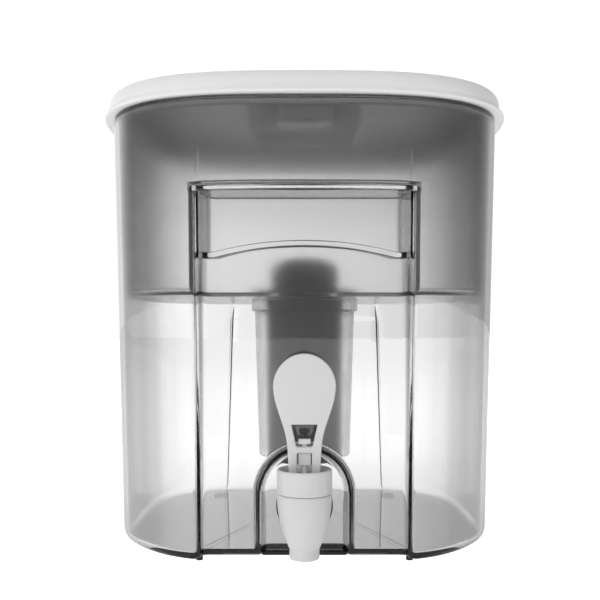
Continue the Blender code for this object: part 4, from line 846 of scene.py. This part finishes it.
rings += [lid_level(lid_oval(x, x, 3.1), z) for x, z in (
    (SKIN - 0.008, LID_UNDER_Z), (SKIN - 0.0036, LID_UNDER_Z - 0.0006), (SKIN - 0.0008, LID_UNDER_Z - 0.0020),
    (SKIN, LID_Z + 0.0070), (SKIN, LID_Z + 0.0024), (SKIN - 0.0003, LID_Z + 0.0020), (RIB + 0.0004, LID_Z + 0.0020),
    (RIB, LID_Z + 0.0016), (RIB, LID_Z - 0.0043), (RIB + 0.0006, LID_Z - 0.0049), (PLUG - 0.0006, LID_Z - 0.0049))]
rings = np.array(rings)
lid = mesh_piece("lid_shell", rings, grid_quads(*rings.shape[:2], loop=True), white, 45.0)
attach(lid, "lid")
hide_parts("lid")


def rectangle(half, front, back, r):
    """A rounded rectangle of always the same number of points."""
    turn = np.linspace(0, pi / 2, 7)
    t = np.linspace(0, 1, 22)[1:-1]
    sides = []
    spots = [(half, front, 0), (half, back, 1), (-half, back, 2), (-half, front, 3)]
    for i, (x, y, quarter_turn) in enumerate(spots):
        cx, cy = x - np.sign(x) * r, y + (r if y == front else -r)
        angle = turn + (quarter_turn - 1) * pi / 2
        arc = np.column_stack([cx + r * np.cos(angle), cy + r * np.sin(angle)])
        nx, ny, nq = spots[(i + 1) % 4]
        ncx, ncy = nx - np.sign(nx) * r, ny + (r if ny == front else -r)
        angle = (nq - 1) * pi / 2
        start, end = arc[-1], np.array([ncx + r * np.cos(angle), ncy + r * np.sin(angle)])
        sides += [arc, start + (end - start) * t[:, None]]
    return np.concatenate(sides)


SEAT_Z = LID_TOP_Z - 0.0025
opening = (0.0305, DOOR_FRONT_Y + 0.0045, HINGE_Y - 0.0090)
collar = [(opening[0] + g, opening[1] - g, opening[2] + g, 0.002 + g, z) for g, z in (
    (0.0, COLLAR_LOW_Z + 0.0003), (0.0, SEAT_Z - 0.0004), (0.0003, SEAT_Z), (0.0040, SEAT_Z))]
collar += [(SEAT_HALF + 0.0010, SEAT_FRONT - 0.0008, HINGE_Y - 0.0040, 0.002, z) for z in (SEAT_Z, SEAT_Z - 0.0022)]
collar += [(opening[0] + g, opening[1] - g, opening[2] + g, 0.002 + g, z) for g, z in (
    (0.0030, SEAT_Z - 0.0022), (0.0022, SEAT_Z - 0.0030), (0.0022, COLLAR_LOW_Z + 0.0003), (0.0019, COLLAR_LOW_Z),
    (0.0003, COLLAR_LOW_Z))]
rings = np.array([lid_level(rectangle(h, f, b, r), z) for h, f, b, r, z in collar])
piece = mesh_piece("lid_fill_collar", rings, grid_quads(*rings.shape[:2], loop=True), white, 45.0)
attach(piece, "lid")


MIDDLE_POINT, HALFWAY = -0.98, -0.5  # a floor ring shrunk to a point, and one on the way there


def cup(name, half, front, back, top, floor, thick, r):
    """An open rectangular cup: its outside from the middle of its floor up to the lip, and its inside back down."""
    levels = [(MIDDLE_POINT, floor - thick), (HALFWAY, floor - thick), (0.0, floor - thick), (thick, floor),
              (thick, top), (0.0, top), (0.0, floor + 0.001), (-0.001, floor), (HALFWAY, floor),
              (MIDDLE_POINT, floor)]
    out = []
    middle = (front + back) / 2
    for g, z in levels:
        if g in (MIDDLE_POINT, HALFWAY):
            flat = rectangle(half - 0.001, front + 0.001, back - 0.001, r)
            flat = np.array([0, middle]) + (flat - np.array([0, middle])) * (0.0 if g == MIDDLE_POINT else 0.6)
        else:
            flat = rectangle(half + g, front - g, back + g, r + max(g, 0))
        out.append(lid_level(flat, z))
    rings = np.array(out)
    piece = mesh_piece(name, rings, grid_quads(*rings.shape[:2]), white, 45.0)
    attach(piece, "lid")


cup("lid_finger_well", WELL_HALF + 0.0003, WELL_FRONT - 0.0003, DOOR_FRONT_Y + 0.0005, LID_TOP_Z - 0.0046,
    COLLAR_LOW_Z + 0.0023, 0.0015, 0.0025)
cup("lid_hinge_trough", SEAT_HALF + 0.0003, HINGE_Y - 0.0040, SEAT_BACK + 0.0003, LID_TOP_Z - 0.0046,
    HINGE_Z - 0.0034, 0.0014, 0.0010)

# ---------------------------------------------------------------- the fill door
# A satin white flap with a rolled knuckle along its rear edge, turning on a steel pin in the lid's frame.

section = [(DOOR_FRONT_Y + 0.0002, LID_TOP_Z - 0.0021), (DOOR_FRONT_Y, LID_TOP_Z - 0.0019),
           (DOOR_FRONT_Y, LID_TOP_Z - 0.0008), (DOOR_FRONT_Y + 0.0002, LID_TOP_Z - 0.0004),
           (DOOR_FRONT_Y + 0.0006, LID_TOP_Z - 0.0002)]
section += [(y, LID_TOP_Z - 0.0002) for y in np.linspace(DOOR_FRONT_Y + 0.004, HINGE_Y - 0.003, 12)]
section += [(HINGE_Y - 0.0005, LID_TOP_Z - 0.0002), (HINGE_Y + 0.0008, LID_TOP_Z - 0.0006)]
section += [(HINGE_Y + 0.0028 * np.cos(t), HINGE_Z + 0.0028 * np.sin(t)) for t in np.linspace(0.9, -pi + 0.35, 22)]
section += [(HINGE_Y - 0.0029, HINGE_Z + 0.0008), (HINGE_Y - 0.0034, LID_TOP_Z - 0.0024),
            (HINGE_Y - 0.0042, LID_TOP_Z - 0.0022)]
section += [(y, LID_TOP_Z - 0.0022) for y in np.linspace(HINGE_Y - 0.006, DOOR_FRONT_Y + 0.002, 12)]
section = np.array(section)
across = np.concatenate([-DOOR_HALF + 0.0005 * (1 - np.sin(quarter(5))),
                         np.linspace(-DOOR_HALF + 0.001, DOOR_HALF - 0.001, 30),
                         DOOR_HALF - 0.0005 * (1 - np.sin(quarter(5)[::-1]))])
shrink = np.zeros(len(across))
shrink[:5] = 0.0004 * (1 - np.cos(quarter(5)))[::-1]
shrink[-5:] = 0.0004 * (1 - np.cos(quarter(5)))
across[:5] = np.sort(across[:5])
edge = np.roll(section, -1, 0) - np.roll(section, 1, 0)
inwards = np.column_stack([edge[:, 1], -edge[:, 0]]) / np.linalg.norm(edge, axis=1)[:, None]
rings = []
for x, s_in in zip(across, shrink):
    flat = section + inwards * s_in
    rings.append(np.column_stack([np.full(len(flat), x), flat[:, 0] + MIDDLE.y, flat[:, 1]]))
rings = np.array(rings)
count = rings.shape[1]
door = mesh_piece("fill_flap", rings, grid_quads(*rings.shape[:2]), white, 30.0,
                  caps=(range(count), range((len(rings) - 1) * count, len(rings) * count)))
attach(door, "fill_door")
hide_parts("fill_door")

steel, tree, shader = blank("bright_steel")
shader.inputs["Metallic"].default_value = 1.0
shade = make_node(tree, "ShaderNodeMix", data_type="RGBA")
shade.inputs[6].default_value = (0.55, 0.55, 0.56, 1.0)
shade.inputs[7].default_value = (0.68, 0.68, 0.69, 1.0)
drawn = pattern(tree, 900.0, 3.0, 0.5, (0.05, 1.0, 1.0))
join_nodes(tree, drawn, shade.inputs["Factor"])
join_nodes(tree, shade.outputs[2], shader.inputs["Base Color"])
join_nodes(tree, ranged(tree, drawn, 0.18, 0.34), shader.inputs["Roughness"])
bumped(tree, shader, drawn, 0.00002, 0.2)
refinish("hinge_pin", steel)
refinish("return_spring", steel)

# ---------------------------------------------------------------- the spigot
# A light grey acetal faucet: barrel, nozzle and threaded shank in one, a knurled bonnet, and a flat paddle lever
# that lifts the valve stem. Rubber washers and a nut clamp the shank through the pocket's wall.

acetal, tree, shader = blank("grey_acetal")
base_colour_mix(tree, shader, pattern(tree, 150.0, 4.0),
        (0.735, 0.735, 0.73, 1.0), (0.765, 0.765, 0.76, 1.0))
shader.inputs["Subsurface Weight"].default_value = 0.06
shader.inputs["Subsurface Radius"].default_value = (0.003, 0.003, 0.003)
join_nodes(tree, ranged(tree, pattern(tree, 300.0, 4.0), 0.33, 0.45), shader.inputs["Roughness"])
bumped(tree, shader, pattern(tree, 3600.0, 2.0), 0.00004, 0.25)

low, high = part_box("spigot_bonnet")
axis = ((low.x + high.x) / 2, (low.y + high.y) / 2, 0.0)
bonnet_low, bonnet_high, bonnet_radius = low.z, high.z, (high.x - low.x) / 2
nozzle_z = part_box("spigot_body")[0].z
NECK, CHAMBER, BARREL, NOZZLE = 0.0123, 0.0102, 0.01473, 0.0081
seat_z = nozzle_z + 0.0182
barrel = [(BARREL, 0.0340), (BARREL, 0.0310), (BARREL - 0.0001, 0.0285), (BARREL - 0.0004, 0.0262),
          (BARREL - 0.0008, 0.0238), (BARREL - 0.00125, 0.0214), (BARREL - 0.0018, 0.0188), (BARREL - 0.0024, 0.0166),
          (BARREL - 0.0030, 0.0147), (BARREL - 0.0037, 0.0127), (BARREL - 0.0044, 0.0110), (BARREL - 0.0051, 0.0093),
          (BARREL - 0.0057, 0.0078)]
turned_piece("spigot_barrel", rounded([
    (NECK - 0.0009, nozzle_z + 0.0441, 0), (NECK - 0.0002, nozzle_z + 0.0441, 0.0003),
    (NECK, nozzle_z + 0.0438, 0.0003), (NECK, bonnet_low - 0.0003, 0.0002),
    (BARREL - 0.0003, bonnet_low - 0.0003, 0.0004),
    *[(r, nozzle_z + z, 0.0004) for r, z in barrel], (BARREL - 0.0060, nozzle_z + 0.0066, 0.0004),
    (NOZZLE, nozzle_z + 0.0062, 0.0003), (NOZZLE, nozzle_z + 0.0003, 0.0009), (NOZZLE - 0.0012, nozzle_z, 0.0005),
    (NOZZLE - 0.0025, nozzle_z, 0.0003), (NOZZLE - 0.0025, seat_z - 0.0008, 0.0002), (NOZZLE - 0.0022, seat_z, 0.0002),
    (NOZZLE - 0.0008, seat_z, 0.0002), (NOZZLE - 0.0005, seat_z - 0.0012, 0.0002),
    (CHAMBER - 0.0014, seat_z - 0.0012, 0.0006), (CHAMBER - 0.0002, seat_z + 0.003, 0.001),
    (CHAMBER, bonnet_low + 0.0062, 0.0004), (NECK - 0.0009, nozzle_z + 0.0441, 0)]), axis, acetal, "spigot_body",
    "dispenser_base", steps=128, loop=False)


def laid_back(rings, centre_y, centre_z):
    """Turned rings laid down: their height runs towards the back from a point on the spigot's axis."""
    return np.stack([rings[..., 0], centre_y + rings[..., 2], centre_z - rings[..., 1]], -1)


shank_z = (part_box("outer_washer")[0].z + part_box("outer_washer")[1].z) / 2
shank_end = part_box("spigot_body")[1].y
washer_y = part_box("outer_washer")[0].y
SHANK, PITCH = 0.0080, 0.0018
start = axis[1] + BARREL - 0.0032
length = shank_end - start
thread_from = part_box("inner_washer")[1].y - start


def thread(radius, height, turn):
    """A helical groove: the radius falls by a rounded triangle of height over pitch plus angle over a full turn."""
    wave = np.abs(np.mod(height / PITCH + turn / (2 * pi), 1.0) - 0.5) * 2
    return -0.0007 * smooth(wave) * (radius > SHANK - 0.0004) * (radius < SHANK + 0.0001) * (height > thread_from)


shank_profile = [(0.0052, 0.0), (0.0100, 0.0), (0.0098, 0.0012), (0.0092, 0.0030)]
flange_back = washer_y - 0.0003 - start
shank_profile += [(0.0088, flange_back - 0.0050), (0.0092, flange_back - 0.0032), (0.0140, flange_back - 0.0025),
                  (0.0148, flange_back - 0.0021), (0.0148, flange_back - 0.0003),
                  (0.0145, flange_back), (SHANK, flange_back)]
shank_profile += [(SHANK, h) for h in np.linspace(flange_back + 0.0003, length - 0.0006, 96)]
shank_profile += [(SHANK - 0.0006, length), (0.0052, length)]
rings = laid_back(turned_rings(np.array(shank_profile), 64, thread), start, shank_z)
shank = mesh_piece("spigot_shank", rings, grid_quads(*rings.shape[:2], loop=True), acetal, 45.0)
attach(shank, "dispenser_base")

for node in ("outer_washer", "inner_washer"):
    low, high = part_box(node)
    radius, thick = (high.x - low.x) / 2, high.y - low.y
    rings = laid_back(turned_rings(rounded([
        (SHANK + 0.0003, thick / 2, 0), (SHANK + 0.0003, thick, 0.0003), (radius - 0.0001, thick, 0.0005),
        (radius, thick / 2, 0.0005), (radius - 0.0001, 0, 0.0005), (SHANK + 0.0003, 0, 0.0003),
        (SHANK + 0.0003, thick / 2, 0)]), 80), low.y, shank_z)
    washer = mesh_piece("rubber_" + node, rings, grid_quads(*rings.shape[:2]), rubber)
    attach(washer, "dispenser_base")
    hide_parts(node)

low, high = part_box("lock_nut")
thick, flats = high.y - low.y, (high.x - low.x) / 2


def hexagon(radius, height, turn):
    """Outer points pushed out to a hexagon: r / cos(angle from the nearest flat), chamfered at both faces."""
    off = np.mod(turn + pi / 6, pi / 3) - pi / 6
    chamfer = 0.0022 * np.clip(1 - np.minimum(height, thick - height) / 0.0012, 0, 1)
    corner = np.minimum(flats / np.cos(off), flats / np.cos(pi / 6) - chamfer)
    return np.where(radius > SHANK + 0.001, corner - radius, 0)


rings = laid_back(turned_rings(np.array([
    (SHANK + 0.0003, thick / 2), (SHANK + 0.0003, thick - 0.0004), (SHANK + 0.0007, thick), (flats, thick),
    (flats, thick - 0.0004), (flats, thick - 0.0008), (flats, thick - 0.0013), (flats, thick / 2), (flats, 0.0013),
    (flats, 0.0008), (flats, 0.0004), (flats, 0.0), (SHANK + 0.0007, 0.0), (SHANK + 0.0003, 0.0004),
    (SHANK + 0.0003, thick / 2)]), 144, hexagon), low.y, shank_z)
nut = mesh_piece("shank_nut", rings, grid_quads(*rings.shape[:2]), acetal, 30.0)
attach(nut, "dispenser_base")
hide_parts("lock_nut")


def knurl(radius, height, turn):
    """Shallow broad flutes round the bonnet's side, faded out at its two edges."""
    middle = smooth((height - bonnet_low - 0.0008) / 0.0012) * smooth((bonnet_high - 0.0040 - height) / 0.0012)
    return -0.00016 * middle * (0.5 - 0.5 * np.cos(18 * turn)) * (radius > bonnet_radius - 0.0003)


r, h = bonnet_radius, bonnet_high - bonnet_low
turned_piece("spigot_bonnet_ring", rounded([
    (NECK + 0.0003, bonnet_low + 0.004, 0), (NECK + 0.0003, bonnet_low, 0.0003), (r - 0.0004, bonnet_low, 0.0003),
    (r, bonnet_low + 0.0006, 0.0003), *[(r, bonnet_low + z, 0) for z in np.linspace(0.0012, h - 0.0040, 16)],
    (r, bonnet_high - 0.0034, 0), (r, bonnet_high - 0.0006, 0.0006), (r - 0.0006, bonnet_high, 0.0004),
    (r - 0.0013, bonnet_high, 0.0003), (NECK - 0.0005, bonnet_high - 0.0020, 0.0006),
    (NECK - 0.0005, bonnet_low + 0.0089, 0.0002), (NECK + 0.0003, bonnet_low + 0.0089, 0.0002),
    (NECK + 0.0003, bonnet_low + 0.004, 0)]), axis, acetal, "spigot_bonnet", "dispenser_base",
    steps=216, ripple=knurl, angle=45.0)

pivot_z = bonnet_low + 0.0055
lever_low, lever_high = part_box("spigot_lever")
LEVER_LENGTH = lever_high.z - pivot_z
LEVER_WIDE = (lever_high.x - lever_low.x) / 2
LEG_WIDE, LEG_GAP, LEVER_THICK, LEVER_ROUND = 0.0084, 0.00395, 0.0046, 0.0008


def lever_z(share):
    return pivot_z + LEVER_LENGTH * share


turn = np.linspace(0, pi / 2, 28)
centre_z = lever_high.z - LEVER_WIDE - 0.0012
paddle_x, paddle_z = LEVER_WIDE * np.sin(turn), centre_z + (lever_high.z - centre_z) * np.cos(turn)
waist = np.array([(0.740, 1.0), (0.695, 0.966), (0.647, 0.906), (0.575, 0.729), (0.503, 0.529), (0.431, 0.329),
                  (0.374, 0.200), (0.316, 0.118), (0.244, 0.071), (0.158, 0.035), (0.086, 0.0)])
waist_t = np.linspace(0.72, 0.086, 40)
waist_w = np.interp(waist_t, waist[::-1, 0], waist[::-1, 1])
for _ in range(4):
    waist_w[1:-1] = (waist_w[:-2] + 2 * waist_w[1:-1] + waist_w[2:]) / 4
edge_x = np.concatenate([paddle_x, LEG_WIDE + (LEVER_WIDE - LEG_WIDE) * waist_w])
edge_z = np.concatenate([paddle_z, lever_z(waist_t)])
foot_z = lever_low.z
right = list(zip(edge_x, edge_z)) + [
    (LEG_WIDE, foot_z + 0.0006), (LEG_WIDE - 0.0006, foot_z), (LEG_GAP + 0.0006, foot_z),
    (LEG_GAP, foot_z + 0.0006), (LEG_GAP, lever_z(0.228)), (LEG_GAP - 0.0004, lever_z(0.234))]
left = [(-x, z) for x, z in reversed(right) if x > 0]
window = [(0.0066, lever_z(0.454)), (0.0070, lever_z(0.449)), (0.0045, lever_z(0.290)), (0.0040, lever_z(0.282)),
          (-0.0040, lever_z(0.282)), (-0.0045, lever_z(0.290)), (-0.0070, lever_z(0.449)), (-0.0066, lever_z(0.454))]
shape = bpy.data.curves.new("lever_shape", "CURVE")
shape.dimensions, shape.fill_mode = "2D", "BOTH"
shape.bevel_depth, shape.bevel_resolution = LEVER_ROUND, 3
shape.offset = -LEVER_ROUND
shape.extrude = LEVER_THICK / 2 - LEVER_ROUND
for loop_points in (right + left, window):
    spline = shape.splines.new("POLY")
    spline.points.add(len(loop_points) - 1)
    spline.points.foreach_set("co", np.array([(x, z, 0.0, 1.0) for x, z in loop_points]).ravel())
    spline.use_cyclic_u = True
drawn = bpy.data.objects.new("lever_drawn", shape)
bpy.context.scene.collection.objects.link(drawn)
bpy.context.view_layer.update()
plate = bpy.data.meshes.new_from_object(drawn.evaluated_get(bpy.context.evaluated_depsgraph_get()))
points = np.zeros(len(plate.vertices) * 3)
plate.vertices.foreach_get("co", points)
points = points.reshape(-1, 3)
front_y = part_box("spigot_lever")[0].y
lever_y = front_y + LEVER_THICK / 2
placed = np.column_stack([points[:, 0], lever_y - points[:, 2], points[:, 1]])
faces = [tuple(face.vertices) for face in plate.polygons]
bpy.data.objects.remove(drawn, do_unlink=True)
bosses = []
for side in (-1, 1):
    rings = turned_rings(rounded([(0, -0.0045, 0), (0.0026, -0.0045, 0.0003),
                                  (0.0026, 0.0, 0.0003), (0.0015, 0.0, 0.0002),
                                  (0.0015, 0.0036, 0.0003), (0, 0.0036, 0)]), 40)
    flat = np.stack([side * (LEG_WIDE - 0.0001 + rings[..., 2]), axis[1] + rings[..., 0], pivot_z + rings[..., 1]], -1)
    bosses.append(flat)
start = len(placed)
for flat in bosses:
    faces += [tuple(quad) for quad in (grid_quads(*flat.shape[:2]) + start).tolist()]
    placed = np.concatenate([placed, flat.reshape(-1, 3)])
    start = len(placed)
lever = mesh_piece("paddle_lever", placed, np.empty((0, 4), int), acetal, 35.0, caps=faces)
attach(lever, "lever")
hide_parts("spigot_lever")

refinish("valve_stem", acetal)
refinish("spring_retainer", acetal)

silicone, tree, shader = blank("clear_silicone")
base_colour_mix(tree, shader, pattern(tree, 400.0, 3.0),
        (0.66, 0.67, 0.67, 1.0), (0.78, 0.79, 0.79, 1.0))
shader.inputs["Subsurface Weight"].default_value = 0.4
shader.inputs["Subsurface Radius"].default_value = (0.003, 0.003, 0.003)
join_nodes(tree, ranged(tree, pattern(tree, 500.0, 3.0), 0.45, 0.65), shader.inputs["Roughness"])
bumped(tree, shader, pattern(tree, 2400.0, 2.0), 0.00004, 0.3)
refinish("seat_cup", silicone)
